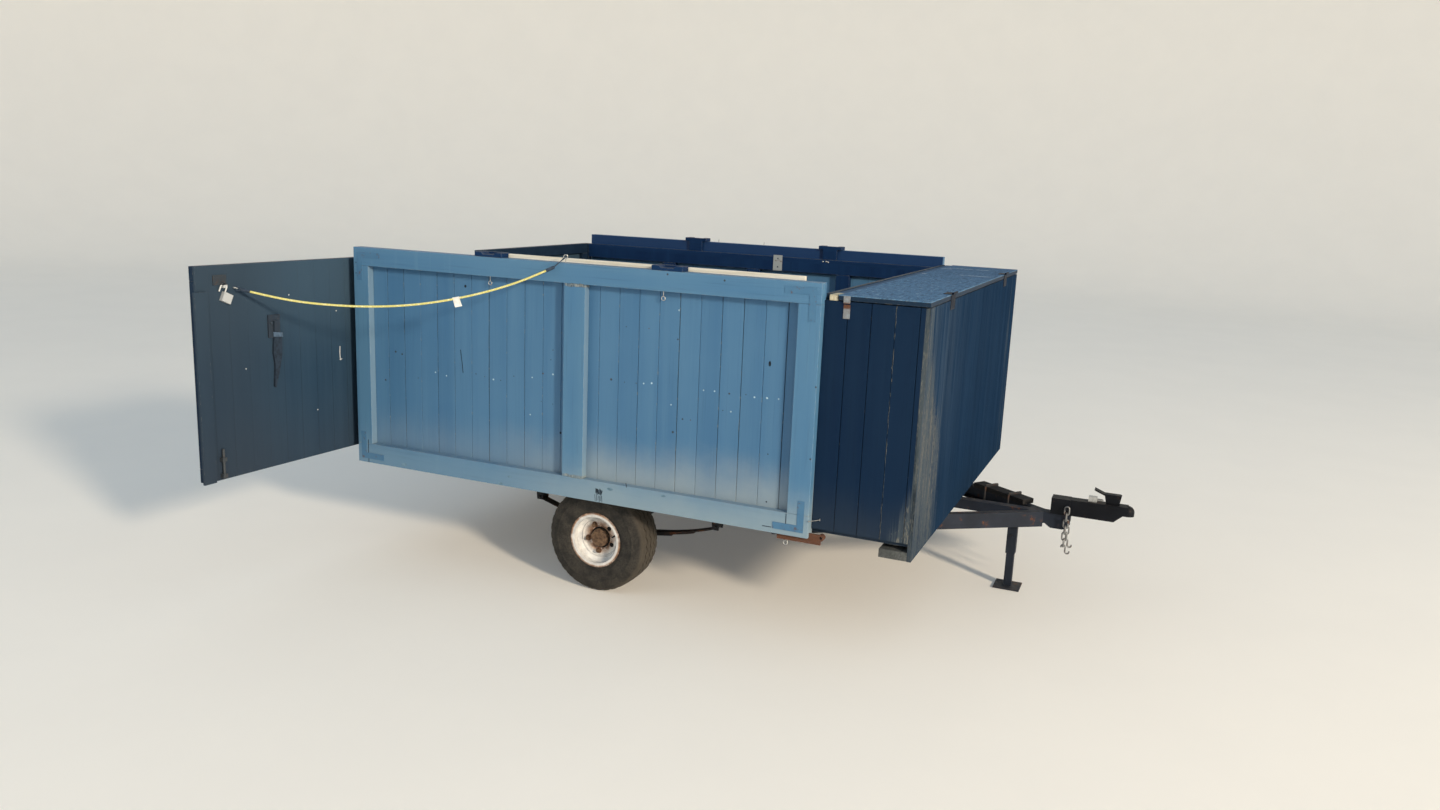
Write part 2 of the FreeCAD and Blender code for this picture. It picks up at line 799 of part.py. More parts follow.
def coupler_lock():
    """A small padlock lying on the channel behind the latch."""
    rear, front = -lock_setback - lock_length, -lock_setback
    base = channel_top(front) + joint_gap
    body = bar(rear, front, -lock_width / 2, lock_width / 2, base, base + lock_rise)
    middle = Vector(front + shackle_reach, 0, base + lock_rise / 2)
    side, ahead = Vector(0, shackle_bend, 0), Vector(shackle_bend, 0, 0)
    path = arc_points(middle, side, ahead, 0, 180, 4)
    back = Vector(-shackle_reach - shackle_radius, 0, 0)
    return fuse([body, bent_wire([path[0] + back] + path + [path[-1] + back], (0, 0, 1), shackle_radius)])


def chain_link(x, y, z, across):
    """A link hanging down from z, its ring in the XZ plane, or the YZ plane when across."""
    bend = chain_inner_width / 2 + chain_wire_radius
    reach = chain_pitch / 2 + chain_wire_radius - bend
    centre = Vector(x, y, z - chain_pitch / 2 + chain_wire_radius)
    out, up = Vector(0, bend, 0) if across else Vector(bend, 0, 0), Vector(0, 0, bend)
    top, low = centre + Vector(0, 0, reach), centre - Vector(0, 0, reach)
    path = arc_points(top, out, up, 0, 180, 4) + arc_points(low, out, up, 180, 360, 4)
    return bent_wire(path, out.cross(up), chain_wire_radius, True)


def chain_hook(x, y, z):
    """An S hook in the XZ plane whose upper bend rests at height z."""
    wire, bend = chain_wire_radius, hook_bend
    upper = Vector(x, y, z + wire - bend)
    lower = upper - Vector(0, 0, hook_height - 2 * wire - 2 * bend)
    out, up = Vector(bend, 0, 0), Vector(0, 0, bend)
    path = arc_points(upper, out, up, 200, 0, 6) + arc_points(lower + out * 2, out, up, 180, 380, 6)
    return bent_wire(path, (0, 1, 0), wire)


def chains():
    """A chain hanging from each staple, with a hook on its last link."""
    solids = []
    for side in (-1, 1):
        y = side * chain_side
        z = ground + chain_anchor_height + staple_radius + joint_gap - chain_wire_radius
        for number in range(chain_links):
            solids.append(chain_link(-chain_setback, y, z, number % 2 == 1))
            z -= chain_pitch - link_slack
        solids.append(chain_hook(-chain_setback, y, z + chain_wire_radius))
    return solids


def build_coupler():
    save("coupler_body", [coupler_body()])
    save("coupler_latch", [coupler_latch()])
    save("coupler_lock", [coupler_lock()])
    save("safety_chains", chains())


# Drop leg
def build_leg():
    x, half = -leg_setback, leg_size / 2
    socket_half = half + leg_clearance + leg_socket_wall
    top, flange_half = beam_bottom - foot_plate, leg_flange_length / 2
    flange = bar(x - flange_half, x + flange_half, -beam_size / 2, beam_size / 2, top, beam_bottom - joint_gap)
    sleeve = bar(x - socket_half, x + socket_half, -socket_half, socket_half, top - leg_socket_length, top)
    inner = half + leg_clearance
    sleeve = sleeve.cut(bar(x - inner, x + inner, -inner, inner, top - leg_socket_length - 1, top - leg_cap))
    socket = fuse([flange, sleeve])
    leg_top = top - leg_cap - leg_end_gap
    leg = bar(x - half, x + half, -half, half, ground + foot_plate, leg_top)
    leg = leg.cut(bar(x - half + leg_wall, x + half - leg_wall, leg_wall - half, half - leg_wall,
                      ground + foot_plate, leg_top + 1))
    foot = bar(x - foot_size / 2, x + foot_size / 2, -foot_size / 2, foot_size / 2, ground, ground + foot_plate)
    pin_z = top - leg_socket_length / 2
    hole = rod((x, -foot_size, pin_z), (x, foot_size, pin_z), leg_pin_radius + leg_clearance)
    pin = rod((x, -socket_half - leg_pin_tail, pin_z), (x, socket_half + leg_pin_head, pin_z), leg_pin_radius)
    save("leg_socket", [socket.cut(hole), pin])
    save("drop_leg", [fuse([leg, foot]).cut(hole)])


# Running gear
def spring_pack():
    """Curved leaves stepped down in length, the top one with rolled eyes."""
    half = spring_length / 2
    radius = (half * half + spring_rise * spring_rise) / (2 * spring_rise)
    centre_z = spring_seat + radius
    leaves = []
    for number, length in enumerate(leaf_lengths):
        inner = radius + number * leaf_thickness
        outer = inner + leaf_thickness
        angle = math.asin(length / 2 / radius)
        corners = [(r * math.sin(a), -r * math.cos(a)) for r, a in
                   ((inner, -angle), (inner, 0), (inner, angle), (outer, angle), (outer, 0), (outer, -angle))]
        points = [Vector(wheel_x + x, 0, centre_z + z) for x, z in corners]
        edges = [Part.Arc(points[0], points[1], points[2]).toShape(),
                 Part.LineSegment(points[2], points[3]).toShape(),
                 Part.Arc(points[3], points[4], points[5]).toShape(),
                 Part.LineSegment(points[5], points[0]).toShape()]
        leaves.append(Part.Face(Part.Wire(edges)).extrude(Vector(0, spring_width, 0)))
    for sign in (-1, 1):
        x, z = wheel_x + sign * half, spring_seat + spring_rise + eye_radius - leaf_thickness
        leaves.append(rod((x, 0, z), (x, spring_width, z), eye_radius))
    pack = fuse(leaves)
    for sign in (-1, 1):
        x, z = wheel_x + sign * half, spring_seat + spring_rise + eye_radius - leaf_thickness
        pack = pack.cut(rod((x, -1, z), (x, spring_width + 1, z), eye_bolt_radius + eye_clearance))
    return moved(pack, 0, -rail_y - spring_width / 2, 0)


def spring_hanger(sign):
    """Two cheeks under the rail with the eye bolt between them."""
    x = wheel_x + sign * spring_length / 2
    z = spring_seat + spring_rise + eye_radius - leaf_thickness
    outer = spring_width / 2 + joint_gap + hanger_plate
    top_half, foot_half = hanger_top_length / 2, hanger_foot_length / 2
    outline = [(x - top_half, rail_bottom), (x + top_half, rail_bottom), (x + foot_half, z - foot_half),
               (x - foot_half, z - foot_half)]
    cheeks = [prism_along_y(outline, -rail_y + side * (outer - hanger_plate), -rail_y + side * outer)
              for side in (-1, 1)]
    bolt_end = outer + eye_bolt_end
    bolt = rod((x, -rail_y - bolt_end, z), (x, -rail_y + bolt_end, z), eye_bolt_radius)
    top = bar(x - top_half, x + top_half, -rail_y - outer, -rail_y + outer, rail_bottom - hanger_plate, rail_bottom)
    return moved(fuse(cheeks + [bolt, top]), 0, 0, -joint_gap)


def spring_clamp():
    """Plate under the spring pack and two U bolts over the axle."""
    low = spring_seat - leaf_thickness * len(leaf_lengths) - joint_gap
    half = spring_pad_length / 2
    width = spring_width / 2 + 2 * u_bolt_radius + spring_pad_edge
    plate = bar(wheel_x - half, wheel_x + half, -width, width, low - spring_pad, low)
    bolts = []
    bend = axle_radius + u_bolt_radius + joint_gap
    for side in (-1, 1):
        drop = wheel_z - low + spring_pad + spring_bolt_tail
        bolt = turned(u_bolt(2 * bend, drop, u_bolt_radius), (0, 0, 0), (0, 0, 1), 90)
        bolts.append(moved(bolt, wheel_x, side * (spring_width / 2 + u_bolt_radius + spring_bolt_gap), wheel_z))
    return moved(fuse([plate] + bolts), 0, -rail_y, 0)


def axle_beam():
    """A tube across the trailer with a collared stub spindle at each end."""
    tube_end = half_width - tyre_inset - tyre_width - tube_end_gap
    collar_end = half_width - disc_inset - hub_length - hub_back_gap
    nose = half_width - disc_inset + cap_length - cap_wall - spindle_end_gap
    shapes = [rod((wheel_x, -tube_end, wheel_z), (wheel_x, tube_end, wheel_z), axle_radius)]
    for side in (-1, 1):
        middle = (wheel_x, side * collar_end, wheel_z)
        shapes.append(rod((wheel_x, side * tube_end, wheel_z), middle, spindle_radius + spindle_collar))
        shapes.append(rod(middle, (wheel_x, side * nose, wheel_z), spindle_radius))
    return fuse(shapes)


def wheel_place(angle, radius):
    """The x and z of a point on the wheel, its angle counted from +X towards +Z."""
    turn = math.radians(angle)
    return wheel_x + radius * math.cos(turn), wheel_z + radius * math.sin(turn)


def wheel_rod(angle, place_radius, depth0, depth1, radius):
    x, z = wheel_place(angle, place_radius)
    return rod((x, inset(depth0), z), (x, inset(depth1), z), radius)


def revolved(profile):
    """Turn a closed polygon of (depth, radius) points about the right wheel's axis."""
    face = face_of([(wheel_x + radius, inset(depth), wheel_z) for depth, radius in profile])
    return face.revolve(Vector(wheel_x, 0, wheel_z), Vector(0, 1, 0), 360)


def tyre():
    """A plain-walled tyre with rounded shoulders."""
    outer, inner = tyre_inset, tyre_inset + tyre_width
    tread_outer = tyre_middle - tread_width / 2
    tread_inner = tyre_middle + tread_width / 2
    bead_outer = tyre_middle - rim_width / 2 + rim_wall
    bead_inner = tyre_middle + rim_width / 2 - rim_wall
    crown = tyre_radius - tread_crown
    mid_wall = (bead_radius + tyre_radius) / 2
    bulge = mid_wall - rim_radius
    outside = [(bead_outer, bead_radius), (bead_outer, rim_radius), (outer + 3, mid_wall - bulge / 2),
               (outer, mid_wall), (outer + 2, mid_wall + bulge / 2), (outer + 9, tyre_radius - 1.6 * shoulder_drop),
               (outer + 18, tyre_radius - shoulder_drop / 2), (tread_outer, crown), (tyre_middle - 20, tyre_radius)]
    inside = [(2 * tyre_middle - depth, radius) for depth, radius in reversed(outside)]
    lining = [(bead_inner - bead_width, bead_radius), (inner - tyre_wall, mid_wall),
              (tread_inner, tyre_radius - tread_thickness), (tread_outer, tyre_radius - tread_thickness),
              (outer + tyre_wall, mid_wall), (bead_outer + bead_width, bead_radius)]
    return revolved(outside + inside + lining)


def rim():
    """A dished steel rim: flanges, bead seats, drop well and a stepped disc with five holes."""
    outer, inner = tyre_middle - rim_width / 2, tyre_middle + rim_width / 2
    seat, wall = bead_radius - joint_gap, rim_wall
    shoulder, back = outer + seat_width, inner - seat_width
    face_edge, back_edge = shoulder + seat_slope, back - seat_slope
    lining, flat = well_radius - wall, well_radius - disc_step - disc_lip_width
    profile = [
        (outer, seat - wall), (outer, rim_radius), (outer + wall - joint_gap, rim_radius),
        (outer + wall - joint_gap, seat), (shoulder, seat), (face_edge, well_radius), (back_edge, well_radius),
        (back, seat), (inner - wall + joint_gap, seat), (inner - wall + joint_gap, rim_radius),
        (inner, rim_radius), (inner, seat - wall), (back + wall / 2, seat - wall), (back_edge + wall / 2, lining),
        (disc_inset + wall, lining), (disc_inset + wall, hub_bore_radius), (disc_inset, hub_bore_radius),
        (disc_inset, flat), (disc_inset - disc_lip, flat + disc_lip_width), (face_edge, lining),
        (shoulder - wall / 2, seat - wall)]
    solid = revolved(profile)
    holes = [wheel_rod(angle, stud_circle_radius, disc_inset - 20, disc_inset + 20, stud_hole_radius)
             for angle in stud_hole_angles]
    holes.append(wheel_rod(valve_angle, valve_circle_radius, disc_inset - 20, disc_inset + 20, valve_hole_radius))
    return solid.cut(Part.makeCompound(holes))


def hub():
    """Bored hub with its flange behind the disc, dust cap, studs and nuts."""
    face = disc_inset + rim_wall + joint_gap
    back = face + hub_flange_thickness
    nose = disc_inset - cap_length
    profile = [(nose, 0), (nose, cap_radius - cap_edge), (nose + cap_edge, cap_radius), (face, cap_radius),
               (face, hub_flange_radius), (back, hub_flange_radius), (back, hub_radius),
               (disc_inset + hub_length, hub_radius - hub_taper),
               (disc_inset + hub_length, 0)]
    body = revolved(profile)
    bore = rod((wheel_x, inset(nose + cap_wall), wheel_z), (wheel_x, inset(disc_inset + hub_length + 5), wheel_z),
               spindle_radius + spindle_clearance)
    seat = disc_inset - joint_gap
    fittings = []
    for angle in nut_angles:
        fittings.append(wheel_rod(angle, stud_circle_radius, face + 2, disc_inset - stud_length, stud_radius))
        x, z = wheel_place(angle, stud_circle_radius)
        corners = [(x + nut_radius * math.cos(math.radians(60 * corner)),
                    z + nut_radius * math.sin(math.radians(60 * corner))) for corner in range(6)]
        fittings.append(prism_along_y(corners, inset(seat), inset(seat - nut_height)))
    return fuse([body] + fittings).cut(bore)


def build_running_gear():
    pack, clamp = spring_pack(), spring_clamp()
    hangers = [spring_hanger(-1), spring_hanger(1)]
    save("axle_beam", [axle_beam()])
    save("leaf_springs", [pack, mirrored(pack)])
    save("spring_hangers", hangers + [mirrored(hanger) for hanger in hangers])
    save("spring_clamps", [clamp, mirrored(clamp)])
    for side, place in (("right", lambda shape: shape), ("left", mirrored)):
        save("tyre_" + side, [place(tyre())])
        save("rim_" + side, [place(rim())])
        save("hub_" + side, [place(hub())])


# Locker in front of the bed
def locker_side():
    length = locker_front - board - bed_front - 2 * joint_gap
    boards = grooved_boards(length, board_pitch, locker_side_bottom, lid_bottom - lid_gap)
    return moved(boards, bed_front + joint_gap, inset(locker_inset), 0)


def locker_face():
    length = overall_width - 2 * locker_inset
    boards = grooved_boards(length, board_pitch, locker_front_bottom, lid_bottom - lid_gap)
    boards = turned(boards, (0, 0, 0), (0, 0, 1), 90)
    return moved(boards, locker_front, -length / 2, 0)


def bulkhead():
    length = overall_width - 2 * (locker_inset + board + joint_gap)
    boards = grooved_boards(length, board_pitch, locker_floor_top + joint_gap, lid_top)
    boards = turned(boards, (0, 0, 0), (0, 0, 1), -90)
    return moved(boards, bed_front + joint_gap, length / 2, 0)


def locker_posts():
    """Corner posts and top rails inside the locker."""
    depth0 = locker_inset + board + joint_gap
    x0, x1 = bed_front + board + 2 * joint_gap, locker_front - board - joint_gap
    z0, z1 = locker_floor_top + joint_gap, lid_bottom - lid_gap
    posts = [side_bar(x0, x0 + stud, depth0, depth0 + stud, z0, z1),
             side_bar(x1 - stud, x1, depth0, depth0 + stud, z0, z1)]
    rails = [side_bar(x0 + stud + joint_gap, x1 - stud - joint_gap, depth0, depth0 + stud, z1 - stud, z1)]
    posts = posts + rails
    reach = half_width - depth0 - stud - joint_gap
    front_rail = bar(x1 - stud, x1, -reach, reach, z1 - stud, z1)
    rear_rail = bar(x0, x0 + stud, -reach, reach, z1 - stud, z1)
    return posts + [mirrored(solid) for solid in posts] + [front_rail, rear_rail]


def locker_top_strip():
    """The fixed strip behind the lid."""
    reach = half_width - locker_inset
    return bar(bed_front + board + 2 * joint_gap, lid_rear - lid_gap, -reach, reach,
               lid_bottom - lid_gap + joint_gap, lid_top - lid_strip_drop)


def foot_beam():
    """The flat beam under the locker's front with a bearer on it and packers on the drawbar."""
    reach = half_width - locker_inset
    x1 = locker_front - board - joint_gap
    x0 = locker_front - foot_beam_depth
    low = locker_front_bottom
    beam = bar(x0, x1, -reach, reach, low, low + stud)
    bearer = bar(x0 + foot_beam_tail, x0 + foot_beam_tail + stud, bearer_inset - reach, reach - bearer_inset,
                 low + stud + joint_gap, rail_top - joint_gap)
    packers = []
    for side in (-1, 0, 1):
        y = side * (foot_beam_depth / 2 - x0 - foot_beam_depth - tongue_apex) * math.tan(
            math.radians(tongue_half_angle))
        packers.append(bar(x0 + packer_inset, x1 - packer_inset, y - packer_width / 2, y + packer_width / 2,
                           rail_bottom + joint_gap, low - joint_gap))
    return [beam, bearer] + packers


def locker_floor():
    reach = half_width - locker_inset - board - joint_gap
    x0, x1 = bed_front + joint_gap, locker_front - board - joint_gap
    return bar(x0, x1, -reach, reach, rail_top, locker_floor_top)


def build_locker():
    side = locker_side()
    save("locker_sides", [side, mirrored(side)])
    save("locker_face", [locker_face()])
    save("locker_bulkhead", [bulkhead()])
    save("locker_posts", locker_posts())
    save("locker_floor", [locker_floor()])
    save("locker_top_strip", [locker_top_strip()])
    save("foot_beam", foot_beam())


# Hinges
def hinge(fixed):
    """Half of a butt hinge along +Z with its pin on the Z axis, open flat along X.

    The moving half has the end knuckles and the pin, the fixed half the middle knuckle.
    """
    third = hinge_length / 3
    spans = ((third + joint_gap, 2 * third - joint_gap),) if fixed else ((0, third), (2 * third, hinge_length))
    near, far = (-hinge_leaf - 0.5, -0.5) if fixed else (0.5, hinge_leaf + 0.5)
    clear = knuckle_radius + joint_gap
    shapes = [bar(clear, hinge_reach, near, far, 0, hinge_length)]
    for z0, z1 in spans:
        shapes.append(rod((0, 0, z0), (0, 0, z1), knuckle_radius))
        shapes.append(bar(0, clear, near, far, z0, z1))
    if not fixed:
        return fuse(shapes + [rod((0, 0, 0), (0, 0, hinge_length), pin_radius)])
    return fuse(shapes).cut(rod((0, 0, -1), (0, 0, hinge_length + 1), pin_radius + pin_clearance))


def door_hinges(fixed):
    leaves = []
    for drop in door_hinge_drops:
        leaves.append(moved(hinge(fixed), door_pin_x, inset(door_pin_depth), door_top - drop - hinge_length))
    return leaves


def strap_hinge(fixed):
    """Half of a lid hinge along +Y, pin on the Y axis: one leaf on the lid, one down the face."""
    third = hinge_length / 3
    spans = ((third + joint_gap, 2 * third - joint_gap),) if fixed else ((0, third), (2 * third, hinge_length))
    clear = knuckle_radius + joint_gap
    if fixed:
        x0 = -knuckle_radius - hinge_leaf
        low = -lid_felt - lid_sheet - lid_gap - hinge_leaf_drop
        shapes = [bar(x0, x0 + hinge_leaf, 0, hinge_length, low, -clear - hinge_leaf)]
        webs = [bar(x0, 0, y0, y1, -knuckle_radius, -knuckle_radius + hinge_leaf) for y0, y1 in spans]
        webs += [bar(x0, x0 + hinge_leaf, y0, y1, -clear - hinge_leaf, -knuckle_radius + hinge_leaf)
                 for y0, y1 in spans]
    else:
        z0, near = -knuckle_radius, -knuckle_radius - hinge_leaf - joint_gap
        shapes = [bar(near - hinge_reach, near, 0, hinge_length, z0, z0 + hinge_leaf)]
        webs = [bar(near, 0, y0, y1, z0, z0 + hinge_leaf) for y0, y1 in spans]
    for y0, y1 in spans:
        shapes.append(rod((0, y0, 0), (0, y1, 0), knuckle_radius))
    shapes += webs
    if not fixed:
        return fuse(shapes + [rod((0, 0, 0), (0, hinge_length, 0), pin_radius)])
    return fuse(shapes).cut(rod((0, -1, 0), (0, hinge_length + 1, 0), pin_radius + pin_clearance))


# Rear doors
def door_leaf(y0, y1):
    """Sheet on the outside and battens inside, hinge edge at y0 and free edge at y1."""
    sheet = bar(door_outer, door_outer + door_sheet, y0, y1, door_bottom, door_top)
    x0, x1 = door_outer + door_sheet, door_outer + door_sheet + door_batten
    battens = [bar(x0, x1, y0, y1, door_bottom, door_bottom + door_batten_width),
               bar(x0, x1, y0, y1, door_top - door_batten_width, door_top)]
    low, high = door_bottom + door_batten_width + joint_gap, door_top - door_batten_width - joint_gap
    middle = (y0 + y1) / 2
    for start in (y0, middle - door_batten_width / 2, y1 - door_batten_width):
        battens.append(bar(x0, x1, start, start + door_batten_width, low, high))
    return sheet, battens


def astragal(free_edge):
    """The cover strip on the right door's free edge, which laps over the left door."""
    inner = free_edge + astragal_lap - astragal_width
    outer = door_outer - astragal_gap - astragal_thickness
    outline = [(door_outer, inner), (outer, inner), (outer, free_edge + astragal_lap),
               (door_outer - astragal_gap, free_edge + astragal_lap), (door_outer - astragal_gap, free_edge),
               (door_outer, free_edge)]
    return prism_along_z(outline, door_bottom, door_top - astragal_drop)


def open_padlock(x, y, z):
    """A padlock hung by its open shackle about y, z, with its body swung towards the hinges."""
    lean = math.radians(door_lock_lean)
    down, out = Vector(0, math.sin(lean), -math.cos(lean)), Vector(0, math.cos(lean), math.sin(lean))
    centre = Vector(x - joint_gap - door_lock_thickness / 2, y, z)
    fixed = centre - out * door_lock_bend
    path = [centre + out * door_lock_bend + down * door_lock_free_leg]
    path += arc_points(centre, out * door_lock_bend, down * -door_lock_bend, 0, 180, 6)
    path.append(fixed + down * (door_lock_leg + door_lock_edge))
    corner = fixed + down * door_lock_leg + out * door_lock_edge
    far, low = out * -door_lock_width, down * door_lock_height
    outline = [(point.y, point.z) for point in (corner, corner + far, corner + far + low, corner + low)]
    body = prism_along_x(outline, x - joint_gap, x - joint_gap - door_lock_thickness)
    return fuse([body, bent_wire(path, (1, 0, 0), door_lock_wire)])


def door_right_fittings(free_edge):
    """Hasp with its padlock, latch and drop bolt on the right door's outer face.

    Each row gives a block's two distances from the free edge, the drops of its top and bottom from
    the door's top, and how far it stands out.
    """
    hasp_foot, half = 85, staple_size / 2
    hasp = ((87, 155, 42, hasp_foot, 4),
            (staple_place - half, staple_place + half, hasp_foot - 1, hasp_foot + staple_size, staple_stand))
    latch = ((369, 435, 242, 348, 8), (393, 415, 270, 320, 20))
    bolt = ((75, 99, 12, 30, 20), (75, 99, 88, 106, 20))

    def block(near, far, high, low, stand):
        return bar(door_outer, door_outer - stand, free_edge - near, free_edge - far, door_top - high, door_top - low)

    def foot_block(near, far, low, high, stand):
        return bar(door_outer, door_outer - stand, free_edge - near, free_edge - far,
                   door_bottom + low, door_bottom + high)

    rod_y, rod_x = free_edge - bolt[0][0] - bolt_stand, door_outer - bolt_stand
    bolt_rod = rod((rod_x, rod_y, door_bottom + bolt_foot), (rod_x, rod_y, door_bottom + bolt_length), bolt_radius)
    lock = open_padlock(door_outer, free_edge - staple_place, door_top - hasp_foot - half)
    return [fuse([block(*row) for row in hasp]), lock, fuse([block(*row) for row in latch]),
            fuse([bolt_rod] + [foot_block(*row) for row in bolt])]


def build_doors():
    pin_y = inset(door_pin_depth)
    hinge_edge = inset(stud_depth + door_side_gap)
    free_edge = hinge_edge + near_door_width
    sheet, battens = door_leaf(hinge_edge, free_edge)
    closed = {"door_right_sheet": [sheet], "door_right_battens": battens,
              "door_right_astragal": [astragal(free_edge)],
              "door_right_fittings": door_right_fittings(free_edge),
              "door_right_hinges": door_hinges(False)}
    for node, solids in closed.items():
        turned_solids = [turned(solid, (door_pin_x, pin_y, 0), (0, 0, 1), door_open_angle) for solid in solids]
        if node == "door_right_fittings":
            turned_solids.append(screw_eye(opened(door_eye), opened(door_eye_foot), Vector(*cord_points[0])))
        save(node, turned_solids)
    sheet, battens = door_leaf(free_edge + door_meeting_gap, -hinge_edge)
    save("door_left_sheet", [sheet])
    save("door_left_battens", battens)
    save("door_left_hinges", [mirrored(leaf) for leaf in door_hinges(False)])
    fixed = door_hinges(True)
    save("door_hinge_leaves", fixed + [mirrored(leaf) for leaf in fixed])


# Lid
def build_lid():
    reach = half_width - locker_inset + lid_overhang
    sheet = bar(lid_rear, locker_front, -reach, reach, lid_bottom, lid_bottom + lid_sheet)
    felt = bar(lid_rear, locker_front, -reach, reach, lid_bottom + lid_sheet, lid_top)
    moving, fixed = [], []
    for place in lid_hinge_places:
        y = place - half_width - hinge_length / 2
        moving.append(moved(strap_hinge(False), lid_pin_x, y, lid_pin_z))
        fixed.append(moved(strap_hinge(True), lid_pin_x, y, lid_pin_z))
    y = -reach
    x0, x1 = lid_rear + catch_setback, lid_rear + catch_setback + catch_width
    upper = bar(x0, x1, y, y - catch_plate, lid_bottom - catch_drop, lid_top - catch_plate)
    lower = side_bar(x0, x1, locker_inset, locker_inset - catch_plate,
                     lid_bottom - catch_drop - lid_gap - catch_height, lid_bottom - catch_drop - lid_gap)
    save("lid_sheet", [sheet])
    save("lid_felt", [felt])
    save("lid_hardware", moving + [upper])
    save("locker_hardware", fixed + [lower, sill_strap()])


# Tail lamps under the rear
def build_lamps():
    """Round lamps, each on a plate that hangs from the rearmost joist."""
    face = bed_rear + joist_places[0] - stud / 2 - joint_gap
    lamps = []
    for y in (-lamp_spread, lamp_spread):
        z = rail_top - lamp_drop
        plate = bar(face - lamp_plate, face, y - lamp_radius, y + lamp_radius, z - lamp_radius, rail_top + stud)
        lamps.append(fuse([plate, rod((face, y, z), (face - lamp_depth, y, z), lamp_radius)]))
    save("tail_lamps", lamps)


# Elastic cord
def cord_path():
    """Straight runs joined by tangent arcs, each as large as its two runs allow."""
    points = [Vector(*point) for point in cord_points]
    edges, radii, start = [], [], points[0]
    for before, corner, after in zip(points, points[1:], points[2:]):
        inward, outward = before - corner, after - corner
        share = cord_arc_share * min(inward.Length, outward.Length)
        turn = math.pi - inward.getAngle(outward)
        radii.append(share / math.tan(turn / 2))
        enter = corner + inward.normalize() * share
        leave = corner + outward.normalize() * share
        toward = (inward + outward).normalize()
        centre = corner + toward * (radii[-1] / math.cos(turn / 2))
        middle = centre - toward * radii[-1]
        edges.append(Part.LineSegment(start, enter).toShape())
        edges.append(Part.Arc(enter, middle, leave).toShape())
        start = leave
    edges.append(Part.LineSegment(start, points[-1]).toShape())
    return edges, radii


def cord_hook(eye, shank, end, before):
    """A wire ring through an eye, its neck, and the collar in line with the cord's last run."""
    run = (end - before).normalize()
    start, mouth = end + run * joint_gap, end + run * (joint_gap + collar_length)
    along = (mouth - eye).normalize()
    axis = along.cross(shank.cross(along))
    centre = eye + along * (2 * eye_ring_radius - eye_wire_radius - hook_wire_radius - joint_gap)
    neck = centre + along * eye_ring_radius
    return fuse([ring(centre, axis, eye_ring_radius, hook_wire_radius),
                 Part.makeCylinder(neck_radius, (mouth - neck).Length + 1, neck, along),
                 Part.makeCylinder(collar_radius, collar_length, start, run)])


def build_cord():
    edges, radii = cord_path()
    wire = Part.Wire(edges)
    first, second = Vector(*cord_points[0]), Vector(*cord_points[1])
    circle = Part.Wire(Part.makeCircle(cord_radius, first, second - first))
    tube = wire.makePipeShell([circle], True, True)
    print("cord: radii from", round(min(radii)), "to", round(max(radii)), "length", round(wire.Length),
          "volume ratio", round(tube.Volume / (math.pi * cord_radius ** 2 * wire.Length), 4))
    save("bungee_cord", [tube])
    points = [Vector(*point) for point in cord_points]
    eye, shank = opened(door_eye), opened(door_eye_foot) - opened(door_eye)
    save("bungee_hook_door", [cord_hook(eye, shank, points[0], points[1])])
    save("bungee_hook_wall", [cord_hook(wall_eye, Vector(0, 0, -1), points[-1], points[-2])])


os.makedirs("parts", exist_ok=True)
build_frame()
build_floor()
build_walls()
build_running_gear()
build_locker()
build_lid()
build_doors()
build_coupler()
build_leg()
build_lamps()
build_cord()
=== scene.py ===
import math
import random

import bmesh
import bpy
from mathutils import Matrix, Vector


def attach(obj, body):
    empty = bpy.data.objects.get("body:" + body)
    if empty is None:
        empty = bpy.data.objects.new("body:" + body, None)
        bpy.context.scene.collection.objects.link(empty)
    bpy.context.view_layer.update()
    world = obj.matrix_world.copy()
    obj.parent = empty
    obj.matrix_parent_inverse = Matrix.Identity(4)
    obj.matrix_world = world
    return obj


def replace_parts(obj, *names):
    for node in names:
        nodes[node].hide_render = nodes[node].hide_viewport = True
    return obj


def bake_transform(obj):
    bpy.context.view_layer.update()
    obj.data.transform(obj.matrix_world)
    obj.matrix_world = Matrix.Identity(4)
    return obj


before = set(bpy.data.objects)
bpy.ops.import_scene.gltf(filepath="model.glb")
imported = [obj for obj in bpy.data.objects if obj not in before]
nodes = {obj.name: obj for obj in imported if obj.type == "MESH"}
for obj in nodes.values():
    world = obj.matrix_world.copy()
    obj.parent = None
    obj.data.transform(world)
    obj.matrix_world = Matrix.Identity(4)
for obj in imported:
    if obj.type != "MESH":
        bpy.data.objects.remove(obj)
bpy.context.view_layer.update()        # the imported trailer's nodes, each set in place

scene = bpy.context.scene
print("frame loaded:", len(nodes), "pieces")

wheelCentre = (-2.329, -0.223)      # along the trailer and up
doorPin = (-3.722, -1.0985)         # the right door's hinge, seen from above
frameMiddle = 0.5555                # height of the middle of the walls' frames
railFrom = 0.4525                   # from there to the inner edges of their rails


# Camera, floor and light

shot = {
    "place": (0.1113, -5.3835, 1.479),
    "turn": 22.989,        # degrees to the left of straight across the trailer
    "tip": 11.686,         # degrees below level
    "roll": 2.415,
    "lens": 26.76,
}
studio = {
    "groundHeight": -0.480,
    "floorGap": 0.0015,    # the floor lies this much below the tyres
    "floor": (240, 236, 228),
    "floorCloud": (200, 198, 194),
    "floorGlow": 0.10,
    "backdrop": (222, 227, 232),
    "worldLight": (0.70, 0.88, 1.06),
    "worldStrength": 0.43,
    "target": (-2.2, -1.0, 0.4),
    "keyFrom": (15.0, -10.6, 7.7),
    "keyColour": (1.0, 0.85, 0.66),
    "keySize": 2.4,
    "keyPower": 4600,
    "fillFrom": (-6.5, -7.0, 4.5),
    "fillColour": (0.9, 0.95, 1.0),
    "fillSize": 5.0,
    "fillPower": 60,
    "floorRings": (0.6, 4.0, 9.0, 17.0),
    "coveRadius": 6.0,
    "coveSteps": 10,
    "wallHeight": 12.0,
    "turns": 96,
}


